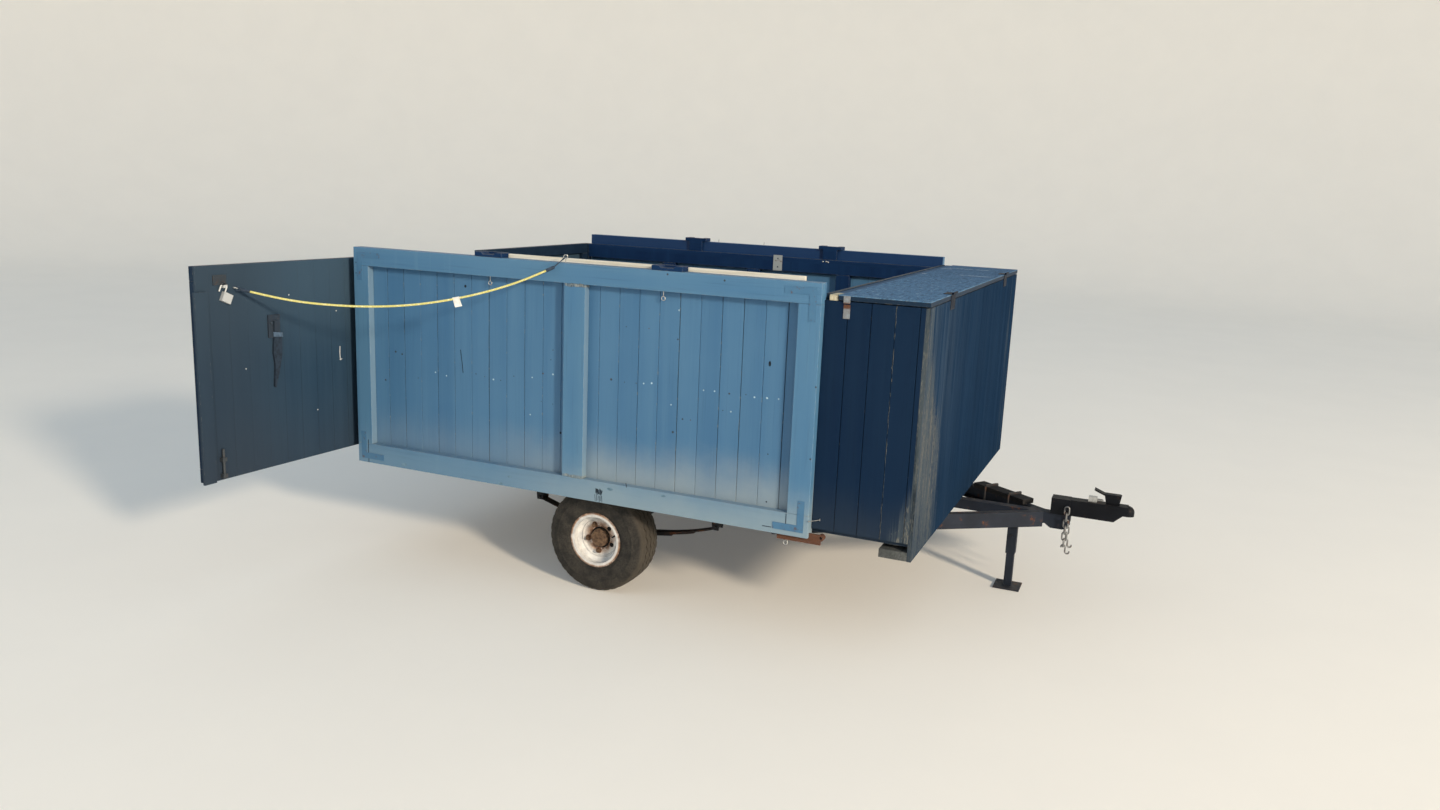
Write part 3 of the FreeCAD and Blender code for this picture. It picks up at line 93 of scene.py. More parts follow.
def rgb(colour):    # a colour as a picture shows it, 0 to 255, made linear
    parts = [part / 255 for part in colour]
    return (*(part / 12.92 if part <= 0.04045 else ((part + 0.055) / 1.055) ** 2.4 for part in parts), 1.0)


def toned(colour, share):
    return [share * part for part in colour]


def setCamera():
    camera = bpy.data.objects.new("camera", bpy.data.cameras.new("camera"))
    scene.collection.objects.link(camera)
    camera.data.lens = shot["lens"]
    camera.data.sensor_width = 36
    camera.data.clip_end = 200
    turn = Matrix.Rotation(math.radians(shot["turn"]), 4, "Z")
    tip = Matrix.Rotation(math.radians(90 - shot["tip"]), 4, "X")
    roll = Matrix.Rotation(math.radians(shot["roll"]), 4, "Z")
    camera.matrix_world = Matrix.Translation(shot["place"]) @ turn @ tip @ roll
    scene.camera = camera


def addLamp(name, place, colour, size, power):
    lamp = bpy.data.objects.new(name, bpy.data.lights.new(name, "AREA"))
    lamp.data.shape = "DISK"
    lamp.data.size = size
    lamp.data.energy = power
    lamp.data.color = colour
    toward = Vector(studio["target"]) - Vector(place)
    lamp.matrix_world = Matrix.Translation(place) @ toward.to_track_quat("-Z", "Y").to_matrix().to_4x4()
    scene.collection.objects.link(lamp)


class Field:    # one output in a shader; a sum written with fields adds the nodes that work it out
    def __init__(self, tree, socket):
        self.tree, self.socket = tree, socket

    def __add__(self, other):
        return work("ADD", self, other)

    def __sub__(self, other):
        return work("SUBTRACT", self, other)

    def __rsub__(self, other):
        return work("SUBTRACT", other, self)

    def __mul__(self, other):
        return work("MULTIPLY", self, other)

    def __truediv__(self, other):
        return work("DIVIDE", self, other)

    def __gt__(self, other):
        return work("GREATER_THAN", self, other)

    def __lt__(self, other):
        return work("LESS_THAN", self, other)

    def __abs__(self):
        return work("ABSOLUTE", self)


def link(node, key, value):    # links a field to an input, or writes a plain value there
    if isinstance(value, Field):
        value.tree.links.new(value.socket, node.inputs[key])
    else:
        node.inputs[key].default_value = value


def add(tree, kind, values=None, **settings):    # a node, its settings, and what goes into it
    node = tree.nodes.new(kind)
    for key, value in settings.items():
        setattr(node, key, value)
    for key, value in (values or {}).items():
        link(node, key, value)
    return node


def made(tree, kind, output, values=None, **settings):    # the same, for one of the node's outputs
    return Field(tree, add(tree, kind, values, **settings).outputs[output])


def work(operation, first, second=0.0, clamp=False):
    tree = (first if isinstance(first, Field) else second).tree
    return made(tree, "ShaderNodeMath", 0, {0: first, 1: second}, operation=operation, use_clamp=clamp)


def most(first, second):
    return work("MAXIMUM", first, second)


def blend(mask, under, over):    # two colours, each a field or 0 to 255
    under, over = (colour if isinstance(colour, Field) else rgb(colour) for colour in (under, over))
    return made(mask.tree, "ShaderNodeMix", 2, {0: mask, 6: under, 7: over}, data_type="RGBA")


def smooth(value, low, high, start=0.0, end=1.0):
    values = {"Value": value, "From Min": low, "From Max": high, "To Min": start, "To Max": end}
    return made(value.tree, "ShaderNodeMapRange", 0, values, interpolation_type="SMOOTHSTEP")


def noise(vector, scale, detail=3.0, roughness=0.55):
    values = {"Vector": vector, "Scale": scale, "Detail": detail, "Roughness": roughness}
    return made(vector.tree, "ShaderNodeTexNoise", 0, values)


def vectorWork(operation, *vectors, output=0):
    tree = vectors[0].tree
    return made(tree, "ShaderNodeVectorMath", output, dict(enumerate(vectors)), operation=operation)


def stretched(vector, factors):
    return vectorWork("MULTIPLY", vector, factors)


def axesOf(vector):
    node = add(vector.tree, "ShaderNodeSeparateXYZ", {0: vector})
    return [Field(vector.tree, part) for part in node.outputs]


def normalOf(point):
    return made(point.tree, "ShaderNodeNewGeometry", "Normal")


def shaderOf(material):
    return material.node_tree.nodes["Principled BSDF"]


def newMaterial(name, roughness=0.6, metallic=0.0, specular=None):
    material = bpy.data.materials.new(name)
    material.use_nodes = True
    if specular is None:
        specular = 0.5 if metallic else 0.28
    for key, value in (("Roughness", roughness), ("Metallic", metallic), ("Specular IOR Level", specular)):
        shaderOf(material).inputs[key].default_value = value
    return material, made(material.node_tree, "ShaderNodeTexCoord", "Object")


def dress(material, colour, height=None, bump=0.002, strength=0.6, roughness=None):
    shader = shaderOf(material)
    link(shader, "Base Color", colour)
    if roughness:
        link(shader, "Roughness", roughness)
    if height:
        relief = {"Height": height, "Distance": bump, "Strength": strength}
        link(shader, "Normal", made(height.tree, "ShaderNodeBump", 0, relief))
    return material


def setSky():    # blue sky light, with a pale backdrop where the camera looks past the floor
    world = bpy.data.worlds.new("studio")
    scene.world = world
    world.use_nodes = True
    tree = world.node_tree
    tree.nodes.clear()
    light = {"Color": (*studio["worldLight"], 1), "Strength": studio["worldStrength"]}
    sky = made(tree, "ShaderNodeBackground", 0, light)
    seen = made(tree, "ShaderNodeBackground", 0, {"Color": rgb(studio["backdrop"]), "Strength": 1.0})
    toCamera = made(tree, "ShaderNodeLightPath", "Is Camera Ray")
    mixed = made(tree, "ShaderNodeMixShader", 0, {0: toCamera, 1: sky, 2: seen})
    add(tree, "ShaderNodeOutputWorld", {0: mixed})


def setFloor():    # a round floor that curves up into a wall
    cove, steps, turns = studio["coveRadius"], studio["coveSteps"], studio["turns"]
    reach, level = studio["floorRings"][-1], studio["groundHeight"] - studio["floorGap"]
    bends = [math.pi / 2 * k / steps for k in range(1, steps + 1)]
    profile = [(radius, 0.0) for radius in studio["floorRings"]]
    profile += [(reach + cove * math.sin(bend), cove - cove * math.cos(bend)) for bend in bends]
    profile += [(reach + cove, studio["wallHeight"])]
    count = len(profile)
    corners = [(radius * math.cos(turn) + studio["target"][0], radius * math.sin(turn), level + height)
               for turn in (math.tau * k / turns for k in range(turns)) for radius, height in profile]
    starts = [k * count for k in range(turns)]
    faces = [(one + row, one + row + 1, two + row + 1, two + row)
             for one, two in zip(starts, starts[1:] + starts[:1]) for row in range(count - 1)]
    faces.append(starts)
    mesh = bpy.data.meshes.new("studioFloor")
    mesh.from_pydata(corners, [], faces)
    mesh.polygons.foreach_set("use_smooth", [True] * len(faces))
    floor = bpy.data.objects.new("studioFloor", mesh)
    scene.collection.objects.link(floor)
    material, point = newMaterial("paleFloor", 0.85)
    cloud = smooth(noise(point, 1.4, 4), 0.3, 0.7, 0.0, 0.05)
    dress(material, blend(cloud, studio["floor"], studio["floorCloud"]))
    link(shaderOf(material), "Emission Color", rgb(studio["backdrop"]))
    link(shaderOf(material), "Emission Strength", studio["floorGlow"])
    mesh.materials.append(material)


setCamera()
setSky()
setFloor()
for lamp in ("key", "fill"):
    addLamp(lamp + "Lamp", *(studio[lamp + part] for part in ("From", "Colour", "Size", "Power")))
scene.view_settings.view_transform = "Standard"
print("camera and light set")


# Shader groups that several finishes share

def newGroup(name, ins, outs, build):    # build is given the group's inputs and returns what it puts out
    tree = bpy.data.node_groups.new(name, "ShaderNodeTree")
    for label, value in ins.items():
        kind = "NodeSocketFloat" if isinstance(value, float) else "NodeSocketVector"
        socket = tree.interface.new_socket(label, in_out="INPUT", socket_type=kind)
        if value is not None:
            socket.default_value = value
    for label in outs:
        kind = "NodeSocketColor" if label == "Color" else "NodeSocketFloat"
        tree.interface.new_socket(label, in_out="OUTPUT", socket_type=kind)
    inputs = [Field(tree, socket) for socket in add(tree, "NodeGroupInput").outputs[:len(ins)]]
    end = add(tree, "NodeGroupOutput")
    for key, field in enumerate(build(*inputs)):
        link(end, key, field)
    return tree


def shared(group, *values):    # a group in a material, with its inputs in order; its outputs
    tree = next(value.tree for value in values if isinstance(value, Field))
    node = add(tree, "ShaderNodeGroup", dict(enumerate(values)), node_tree=group)
    return [Field(tree, socket) for socket in node.outputs]


def randomTone(number):
    return made(number.tree, "ShaderNodeTexWhiteNoise", 0, {"W": number}, noise_dimensions="1D")


def makeFibres(point, stretch):    # long wood fibres and the broad tone between them
    along = stretched(point, stretch)
    return noise(along, 1.0, 6, 0.66), noise(along, 0.13, 3, 0.5)


def makeSeams(along, offset, pitch, width):    # a tone for each board and the dark line between two boards
    steps = (along - offset) / pitch
    tone = randomTone(work("FLOOR", steps))
    nearest = work("ROUND", steps)
    line = 1.0 - smooth(abs(steps - nearest) * pitch, 0.0, width)
    return tone, line * smooth(randomTone(nearest + 0.37), 0.0, 1.0, 0.35, 1.0)


def makeRuns(point, density, amount):    # upright marks that rain leaves
    across = made(point.tree, "ShaderNodeCombineXYZ", 0, {0: density, 1: density, 2: 0.8})
    high = 0.78 - amount * 0.3
    return [smooth(noise(stretched(point, across), 1.0, 4, 0.6), high - 0.16, high)]


def makeEdgeRub(point, radius, amount):    # paint rubbed thin on corners
    rounded = made(point.tree, "ShaderNodeBevel", 0, {"Radius": radius}, samples=4)
    facing = vectorWork("DOT_PRODUCT", rounded, normalOf(point), output="Value")
    high = 0.74 - amount * 0.36
    return [smooth(1.0 - facing, 0.01, 0.2) * smooth(noise(point, 38.0, 5, 0.7), high - 0.12, high)]


def makeFlecks(point, amount, stretch):    # worn paint: fine upright flecks, more of them as Amount grows
    fine = noise(stretched(point, stretch), 1.0, 5, 0.7)
    broad = noise(stretched(point, (24, 24, 3.2)), 1.0, 3, 0.6)
    high = 0.86 - amount * 0.56
    return [smooth(fine * 0.62 + broad * 0.38, high - 0.1, high)]


def makeSplash(point, low, high):    # a ragged share that grows towards the bottom, for a low tint, and dust on what faces up
    ragged = axesOf(point)[2] + (noise(point, 5.0, 5, 0.62) - 0.5) * 0.16
    facingUp = smooth(axesOf(normalOf(point))[2], 0.3, 0.95)
    dust = facingUp * smooth(noise(point, 17.0, 6, 0.7), 0.3, 0.7)
    return 1.0 - smooth(ragged, low, high), dust


def makeRust(point, scale, amount):    # rust that blooms through paint or plating
    high = 0.8 - amount * 0.5
    mask = smooth(noise(point, scale, 7, 0.68), high - 0.14, high)
    grit = noise(point, scale * 9.0, 4, 0.7)
    return mask, blend(smooth(grit, 0.32, 0.68), (50, 35, 30), (112, 72, 50)), grit


fibres = newGroup("woodFibres", {"Vector": None, "Stretch": (90, 90, 3)}, ("Fibre", "Tone"), makeFibres)
seams = newGroup("boardSeams", {"Along": 0.0, "Offset": 0.0, "Pitch": 0.1, "Width": 0.003}, ("Tone", "Line"),
                 makeSeams)
rainRuns = newGroup("rainRuns", {"Vector": None, "Density": 22.0, "Amount": 0.5}, ("Mask",), makeRuns)
edgeRub = newGroup("edgeRub", {"Vector": None, "Radius": 0.004, "Amount": 0.5}, ("Mask",), makeEdgeRub)
flecks = newGroup("paintFlecks", {"Vector": None, "Amount": 0.3, "Stretch": (210, 210, 34)}, ("Mask",),
                  makeFlecks)
lowTint = newGroup("lowTintAndDust", {"Vector": None, "Low": -0.1, "High": 0.4}, ("LowTint", "Dust"), makeSplash)
rustBloom = newGroup("rustBloom", {"Vector": None, "Scale": 14.0, "Amount": 0.5}, ("Mask", "Color", "Height"),
                     makeRust)
print("shader groups built")


# Painted timber: the blue sides and the charcoal doors, locker and rails

upright = (95, 95, 2.6)
lengthwise = (2.6, 95, 95)
crosswise = (95, 2.6, 95)

timberLook = {    # what most painted timber has; a seam is its axis, first joint, pitch and width
    "stretch": "frame", "seam": None, "depths": False, "boardShift": 0.0, "runs": 0.2, "roughness": 0.5,
    "sheen": 0.06, "worn": 0.0, "inside": None, "topLight": None, "outerFade": None, "haze": None,
}
# on the blue walls the low tint is painted bounce light from the floor: lighter and greyer towards the bottom
blueBoards = dict(
    timberLook, paint=(60, 103, 142), faded=(78, 119, 153), under=(150, 158, 158), stretch=upright,
    seam=("x", -3.597, 0.1005, 0.0026), depths=True, boardShift=0.05, grain=0.05, rub=0.2,
    lowTint=((0.06, 0.36), (140, 154, 162), 0.85), inside=(17, 51, 94), sheen=0.28)
blueFrame = dict(
    timberLook, paint=(68, 112, 150), faded=(86, 127, 158), under=(176, 182, 178), grain=0.08, worn=0.03,
    rub=0.46, lowTint=((0.0, 0.26), (138, 156, 165), 0.7), roughness=0.46, inside=(17, 51, 94), sheen=0.28)
# topLight is painted light: the door lighter towards its top, where the light falls on it
charcoalDoor = dict(
    timberLook, paint=(37, 58, 78), faded=(48, 69, 88), under=(112, 118, 120), stretch=upright,
    seam=("y", -1.10, 0.098, 0.0012), boardShift=0.04, grain=0.06, worn=0.02, rub=0.3, runs=0.1,
    lowTint=((0.0, 0.5), (54, 57, 64), 1.0), topLight=(62, 82, 99), outerFade=(46, 56, 68))
charcoalBoards = dict(
    timberLook, paint=(12, 33, 59), faded=(21, 42, 66), under=(150, 148, 138), stretch=upright,
    seam=("x", -1.2327, 0.1005, 0.0022), boardShift=0.05, grain=0.08, rub=0.0,
    lowTint=((-0.05, 0.3), (58, 66, 72), 0.4))
charcoalFace = dict(
    charcoalBoards, paint=(18, 38, 62), faded=(27, 49, 75), under=(116, 118, 116),
    seam=("y", -1.1515, 0.1005, 0.0022), lowTint=((-0.05, 0.3), (30, 46, 64), 0.3), runs=0.3, sheen=0.0,
    haze=(94, 112, 130))
charcoalTimber = dict(
    timberLook, paint=(14, 38, 74), faded=(24, 53, 90), under=(130, 130, 124), grain=0.1, worn=0.05, rub=0.5,
    lowTint=((-0.1, 0.2), (62, 70, 76), 0.4))
wearPaint = (72, 82, 90)       # paint worn thin
upDust = (150, 154, 152)       # dust on what faces up
steelDust = (128, 118, 104)    # the same on steel
crackWood = (40, 36, 32)       # the dark in the cracks of bare wood
fleckWood = (70, 68, 64)       # its weathered flecks
revealHighlight = (162, 170, 166)  # painted highlight: a paler tone on the frames' edges that face forward, toward the key lamp

seamDepths = (    # how deep and dark the joint after each board is, counted from the bed's rear
    0.45, 0.6, 0.12, 0.6, 0.45, 0.12, 1.0, 0.14, 0.85, 0.16, 0.3, 0.3, 0.14, 0.12, 0.85, 0.14, 0.85, 0.14,
    0.8, 0.85, 0.14, 0.9, 0.3, 0.3)


def seamDepth(along, offset, pitch):
    count = len(seamDepths) + 1
    ramp = add(along.tree, "ShaderNodeValToRGB")
    ramp.color_ramp.interpolation = "CONSTANT"
    stops = ramp.color_ramp.elements
    stops[1].position = 1.0
    for number, depth in enumerate(seamDepths, 1):
        stops.new((number - 0.5) / count).color = (depth, depth, depth, 1.0)
    link(ramp, 0, (along - offset) / (pitch * count))
    return made(along.tree, "ShaderNodeSeparateColor", 0, {0: Field(along.tree, ramp.outputs[0])})


def grainStretch(z, kind):    # boards run up; on a frame the rails at top and bottom run along
    if kind != "frame":
        return kind
    isRail = abs(z - frameMiddle) > railFrom
    return made(z.tree, "ShaderNodeMix", 1, {0: isRail, 4: upright, 5: lengthwise}, data_type="VECTOR")


def nearCorner(point):    # the locker's side: a chipped board edge, and bare wood low on the front corner
    x, y, z = axesOf(point)
    frontEdge, seamPlace = -0.80, -0.924
    corner = smooth(z + (frontEdge - x) * 2.4, 0.12, 0.52, 1.0, 0.0)
    ragged = x + noise(point, 30.0, 4, 0.7) * 0.012
    atSeam = smooth(abs(ragged - seamPlace), 0.0006, 0.0032, 1.0, 0.0)
    patchy = smooth(noise(stretched(point, (20, 20, 9)), 1.0, 4, 0.7), 0.36, 0.5, 0.35, 1.0)
    return most(corner * 0.9, atSeam * patchy * 1.1)


def jointWear(point):    # paint chipped off the ends of the centre stile
    x, y, z = axesOf(point)
    stilePlace, stileHalf = -2.40, 0.446
    across = smooth(abs(x - stilePlace), 0.05, 0.066, 1.0, 0.0)
    fromMiddle = abs(z + noise(point, 26.0, 4, 0.7) * 0.02 - (frameMiddle + 0.01))
    return across * smooth(abs(fromMiddle - stileHalf), 0.004, 0.012, 1.0, 0.0)


def faceWear(point):    # the locker's front: bare upright streaks from the near corner, fewer at the far end
    x, y, z = axesOf(point)
    near = smooth(y - smooth(z, 0.95, 0.3, 0.0, 0.34), -1.19, -0.86, 0.86, 0.0)
    far = smooth(y, 0.84, 1.0, 0.0, 0.45)
    low = smooth(z, -0.04, 0.2, 1.0, 0.0) * smooth(y, -1.14, -0.8, 0.9, 0.35)
    return most(most(near, far), low)


def boardJoints(look, point, colour, height):    # each board's own tone, and the joints between the boards
    axis, offset, pitch, width = look["seam"]
    along = axesOf(point)["xyz".index(axis)]
    if look["depths"]:
        depth = seamDepth(along, offset, pitch)
        along += (noise(stretched(point, (1, 1, 9)), 1.0, 3, 0.6) - 0.5) * 0.006
        width = depth * width + 0.0011
    tone, line = shared(seams, along, offset, pitch, width)
    colour = blend(tone * (look["boardShift"] * 2.4), colour, toned(look["faded"], 1.12))
    if look["depths"]:
        line = work("MULTIPLY", line, depth * 0.75 + 0.3, clamp=True)
    return blend(line * 0.9, colour, toned(look["paint"], 0.22)), height - line


def wornStreaks(look, point, field, colour):    # flecks of bare wood, and worn paint in streaks round them
    x, y, z = axesOf(point)
    streak = noise(stretched(point, (46, 46, 1.8)), 1.0, 6, 0.7)
    if look["haze"]:
        wide = smooth(y, -1.17, -0.2, 0.26, 0.05) * smooth(z, 0.0, 0.8, 0.35, 1.0)
        colour = blend(wide * smooth(streak, 0.3, 0.66), colour, look["haze"])
    colour = blend(smooth(streak + field * 0.44, 0.70, 0.96, 0.0, 0.85), colour, wearPaint)
    return shared(flecks, point, field * 0.56)[0], colour


def paintedTimber(name, look, wearField=None):
    material, point = newMaterial(name, look["roughness"], 0.0, look["sheen"])
    paint, faded, under = look["paint"], look["faded"], look["under"]
    x, y, z = axesOf(point)
    fibre, broad = shared(fibres, point, grainStretch(z, look["stretch"]))
    colour = blend(smooth(broad, 0.3, 0.7, 0.0, 0.5), paint, faded)
    colour = blend(smooth(noise(point, 1.7, 3), 0.35, 0.7, 0.0, 0.35), colour, faded)
    colour = blend(smooth(fibre, 0.52, 0.72, 0.0, 4 * look["grain"]), colour, toned(paint, 0.72))
    colour = blend(shared(rainRuns, point, 26.0, look["runs"])[0] * 0.4, colour, faded)
    height = fibre * 0.35
    if look["seam"]:
        colour, height = boardJoints(look, point, colour, height)
    if wearField:
        worn, colour = wornStreaks(look, point, wearField(point), colour)
    else:
        worn = shared(flecks, point, look["worn"])[0]
    # painted light: lighter towards the top, where light falls on the door; greyer towards its free edge
    if look["topLight"]:
        colour = blend(smooth(z, 0.5, 0.95, 0.0, 0.7), colour, look["topLight"])
        colour = blend(smooth(y, -1.4, -1.9, 0.0, 0.6), colour, look["outerFade"])
    bare = most(worn, shared(edgeRub, point, 0.005, look["rub"])[0])
    colour = blend(bare * 0.9, colour, blend(fibre, under, toned(under, 0.62)))
    # a tint towards the bottom; on the blue walls it is painted bounce light from the floor
    (low, high), tint, amount = look["lowTint"]
    lowShare, dust = shared(lowTint, point, low, high)
    lowShare = lowShare * smooth(x, -3.0, -2.1, 0.3, 1.0)
    colour = blend(lowShare * amount, colour, tint)
    colour = blend(dust * 0.2, colour, upDust)
    if look["inside"]:
        normal = axesOf(normalOf(point))
        inward = smooth(y * normal[1], -0.3, -0.8) * smooth(z, 1.030, 1.038)
        colour = blend(inward, colour, look["inside"])
        if look["stretch"] == "frame":
            # painted highlight on the frame edges that face forward
            litEdge = smooth(normal[0], 0.6, 0.9) * (x < -1.3)
            colour = blend(litEdge * 0.22, colour, revealHighlight)
    rough = work("ADD", look["roughness"], bare * 0.3, clamp=True)
    return dress(material, colour, height - bare * 0.4, 0.0012, 0.55, rough)


def bareTimber(name, light, dark, stretch, cracks=0.3):    # unpainted wood, fresh or silvered
    material, point = newMaterial(name, 0.78)
    fibre, broad = shared(fibres, point, stretch)
    colour = blend(smooth(fibre, 0.35, 0.7), light, dark)
    colour = blend(smooth(broad, 0.4, 0.75, 0.0, 0.5), colour, toned(dark, 0.8))
    split = smooth(fibre, 0.66, 0.74)
    colour = blend(split * cracks, colour, crackWood)
    colour = blend(shared(flecks, point, 0.25)[0] * 0.4, colour, fleckWood)
    return dress(material, colour, fibre * 0.6 - split, 0.0015, 0.7)


def rustySteel(name, paint, rust, roughness=0.62, metallic=0.0, scale=13.0, tint=0.4, specular=None):
    material, point = newMaterial(name, roughness, metallic, specular)
    mask, rustColour, grit = shared(rustBloom, point, scale, rust)
    covered = most(mask, shared(edgeRub, point, 0.003, rust)[0])
    lighter = [1.3 * part + 10 for part in paint]
    colour = blend(smooth(noise(point, 9.0, 4), 0.3, 0.7, 0.0, 0.5), paint, lighter)
    colour = blend(covered, colour, rustColour)
    colour = blend(shared(lowTint, point, -0.5, 0.2)[1] * tint, colour, steelDust)
    link(shaderOf(material), "Metallic", (1.0 - covered) * metallic)
    rough = work("ADD", roughness, covered * 0.3, clamp=True)
    return dress(material, colour, grit * covered, 0.0009, 0.6, rough)


felt = {    # a line is its place across the lid, and where it starts and ends along the trailer
    "paint": ((50, 92, 130), (92, 134, 170)),
    "scuffs": ((32, 58, 86), (142, 168, 188)),
    "farEnd": (26, 62, 98),
    "cloud": (70, 104, 138),
    "flecks": (140, 156, 168),
    "edge": (30, 42, 56),
    "rub": (130, 140, 146),
    "line": (196, 206, 212),
    "lineHalf": 0.008,
    "lines": ((0.34, -1.218, -1.135), (0.83, -1.253, -1.10), (0.91, -1.157, -0.904), (0.41, -0.996, -0.813)),
}


def roofFelt():    # mineral felt on the lid, with pale worn seams across it
    material, point = newMaterial("lidFeltFinish", 0.92)
    x, y, z = axesOf(point)
    grit = noise(point, 420.0, 3, 0.75)
    scuff = noise(stretched(point, (70, 16, 60)), 1.0, 6, 0.75)
    colour = blend(smooth(grit, 0.36, 0.64), *felt["paint"])
    colour = blend(smooth(scuff, 0.48, 0.62, 0.0, 0.7), colour, felt["scuffs"][0])
    colour = blend(smooth(scuff, 0.44, 0.32, 0.0, 0.7), colour, felt["scuffs"][1])
    colour = blend(smooth(y, -0.7, 1.1, 0.0, 0.4), colour, felt["farEnd"])
    colour = blend(smooth(noise(point, 6.0, 5, 0.6), 0.35, 0.7, 0.0, 0.4), colour, felt["cloud"])
    colour = blend(shared(flecks, point, 0.32, (9, 60, 60))[0] * 0.2, colour, felt["flecks"])
    wavy = y + noise(point, 7.0, 3) * 0.02
    patchy = smooth(noise(point, 14.0, 4), 0.36, 0.56)
    for across, start, end in felt["lines"]:
        half = (end - start) / 2
        span = smooth(abs(x - (start + end) / 2), half - 0.02, half, 0.8, 0.0)
        line = abs(wavy - across) < felt["lineHalf"]
        colour = blend(line * (patchy * span), colour, felt["line"])
    colour = blend(smooth(z, 1.040, 1.050, 1.0, 0.0), colour, felt["edge"])
    colour = blend(shared(edgeRub, point, 0.006, 0.5)[0] * 0.35, colour, felt["rub"])
    return dress(material, colour, grit, 0.0016, 0.8)


def fromHub(point):    # places from the wheel's centre: along, up, and straight out
    x, y, z = axesOf(point)
    x, z = x - wheelCentre[0], z - wheelCentre[1]
    return x, z, work("SQRT", x * x + z * z)


rubberTints = {"side": ((30, 30, 30), (46, 45, 43)), "tread": (72, 67, 60), "dust": (76, 71, 64)}


def rubber():    # tyre side walls and tread, dusty and brown in the grooves
    material, point = newMaterial("tyreRubber", 0.82)
    away = fromHub(point)[2]
    cloud = noise(point, 18.0, 5, 0.65)
    fine = noise(point, 160.0, 3, 0.6)
    colour = blend(smooth(cloud, 0.3, 0.7), *rubberTints["side"])
    colour = blend(smooth(away, 0.236, 0.251) * 0.7, colour, rubberTints["tread"])
    dust = smooth(fine, 0.35, 0.62) * smooth(cloud, 0.35, 0.6, 0.05, 0.4)
    colour = blend(dust, colour, rubberTints["dust"])
    ring = work("SINE", away * 1500.0) * (away < 0.165)
    return dress(material, colour, fine + ring * 0.5, 0.0008, 0.5)


wheelTints = {"paint": ((220, 220, 218), (192, 194, 196)), "tan": (184, 146, 112)}


def wheelPaint():    # chalky white rim, rust at the flange, round the bore and below the nuts
    material, point = newMaterial("wheelPaint", 0.5)
    x, z, away = fromHub(point)
    mask, rustColour, grit = shared(rustBloom, point, 30.0, 0.42)
    cloud = noise(point, 26.0, 5)
    colour = blend(smooth(cloud, 0.3, 0.7), *wheelTints["paint"])
    tan = most(smooth(away, 0.092, 0.064), smooth(away, 0.1235, 0.1290)) * smooth(cloud, 0.36, 0.6, 0.35, 1.0)
    colour = blend(tan * 0.8, colour, wheelTints["tan"])
    bore = smooth(away, 0.056, 0.080, 1.0, 0.0)
    flange = smooth(away, 0.1255, 0.1315)
    streak = smooth(x - z * 0.9, 0.01, -0.05) * smooth(away, 0.104, 0.052)
    rust = most(most(bore * 0.9, flange * 0.8), streak * 0.8)
    rust = rust * smooth(noise(point, 60.0, 5, 0.7), 0.34, 0.54, 0.15, 1.0)
    rust = most(rust, mask * 0.14)
    return dress(material, blend(rust, colour, rustColour), grit, 0.0004, 0.3, rust * 0.4 + 0.45)


hubTints = {"rust": ((62, 46, 37), (112, 90, 70)), "behind": (14, 13, 13)}


def hubPaint():    # a rusty cap and nuts; what lies behind the wheel's disc is in the dark
    material, point = newMaterial("hubPaint", 0.75)
    discFace = 1.0412
    cloud = noise(point, 70.0, 5, 0.65)
    colour = blend(smooth(cloud, 0.32, 0.68), *hubTints["rust"])
    colour = blend(abs(axesOf(point)[1]) < discFace, colour, hubTints["behind"])
    return dress(material, colour, cloud, 0.0008, 0.6)


def plain(name, colour, roughness, metallic=0.0, spread=0.12, scale=60.0, rust=0.0):    # small fittings
    material, point = newMaterial(name, roughness, metallic)
    cloud = noise(point, scale, 4, 0.6)
    light = [min(255, part * (1 + spread) + 4) for part in colour]
    result = blend(smooth(cloud, 0.32, 0.68), toned(colour, 1 - spread), light)
    if rust:
        mask, rustColour = shared(rustBloom, point, scale, rust)[:2]
        result = blend(mask, result, rustColour)
        link(shaderOf(material), "Metallic", (1.0 - mask) * metallic)
    return dress(material, result, cloud, 0.0004, 0.3)


fittingTints = {"bolt": (58, 64, 70), "latch": (44, 55, 68), "padlock": (186, 190, 192), "hasp": (50, 58, 66)}


def doorHardware():    # from below: steel bolt, dark latch, silver padlock, and the hasp by the free edge
    material, point = newMaterial("doorFittings", 0.5, 0.15)
    latchFrom, lockFrom, haspFrom, haspReach = 0.30, 0.83, 0.951, 0.775
    z = axesOf(point)[2]
    away = vectorWork("SUBTRACT", point, (*doorPin, 0))
    away = vectorWork("LENGTH", stretched(away, (1, 1, 0)), output="Value")
    colour = blend(z > latchFrom, fittingTints["bolt"], fittingTints["latch"])
    colour = blend(z > lockFrom, colour, fittingTints["padlock"])
    hasp = (z > haspFrom) * (away > haspReach)
    colour = blend(hasp, colour, fittingTints["hasp"])
    mask, rustColour, grit = shared(rustBloom, point, 46.0, 0.3)
    colour = blend(mask * (hasp * 0.3 + 0.15), colour, rustColour)
    return dress(material, colour, grit, 0.0004, 0.3)


strapTints = {"zinc": ((104, 116, 126), (150, 160, 168)), "onFront": (16, 26, 40)}


def lidFittings():    # galvanised straps with rust in the middle, dark where they lie on the locker's front
    material, point = newMaterial("lidFittings", 0.5, 0.0, 0.06)
    x, y, z = axesOf(point)
    onFront = y > -1.05
    colour = blend(noise(point, 40.0, 4), *strapTints["zinc"])
    colour = blend(onFront, colour, strapTints["onFront"])
    middle = smooth(abs(z - 1.010), 0.008, 0.020, 1.0, 0.0) * (1.0 - onFront)
    mask, rustColour, grit = shared(rustBloom, point, 60.0, 0.55)
    rusty = most(middle, z < 0.1) * smooth(grit, 0.2, 0.5)
    rusty = most(rusty, mask * (0.3 - onFront * 0.26))
    return dress(material, blend(rusty, colour, rustColour), grit, 0.0004, 0.3)


stripTints = {"bare": ((204, 198, 176), (160, 152, 130)), "painted": ((46, 78, 112), (124, 154, 182))}


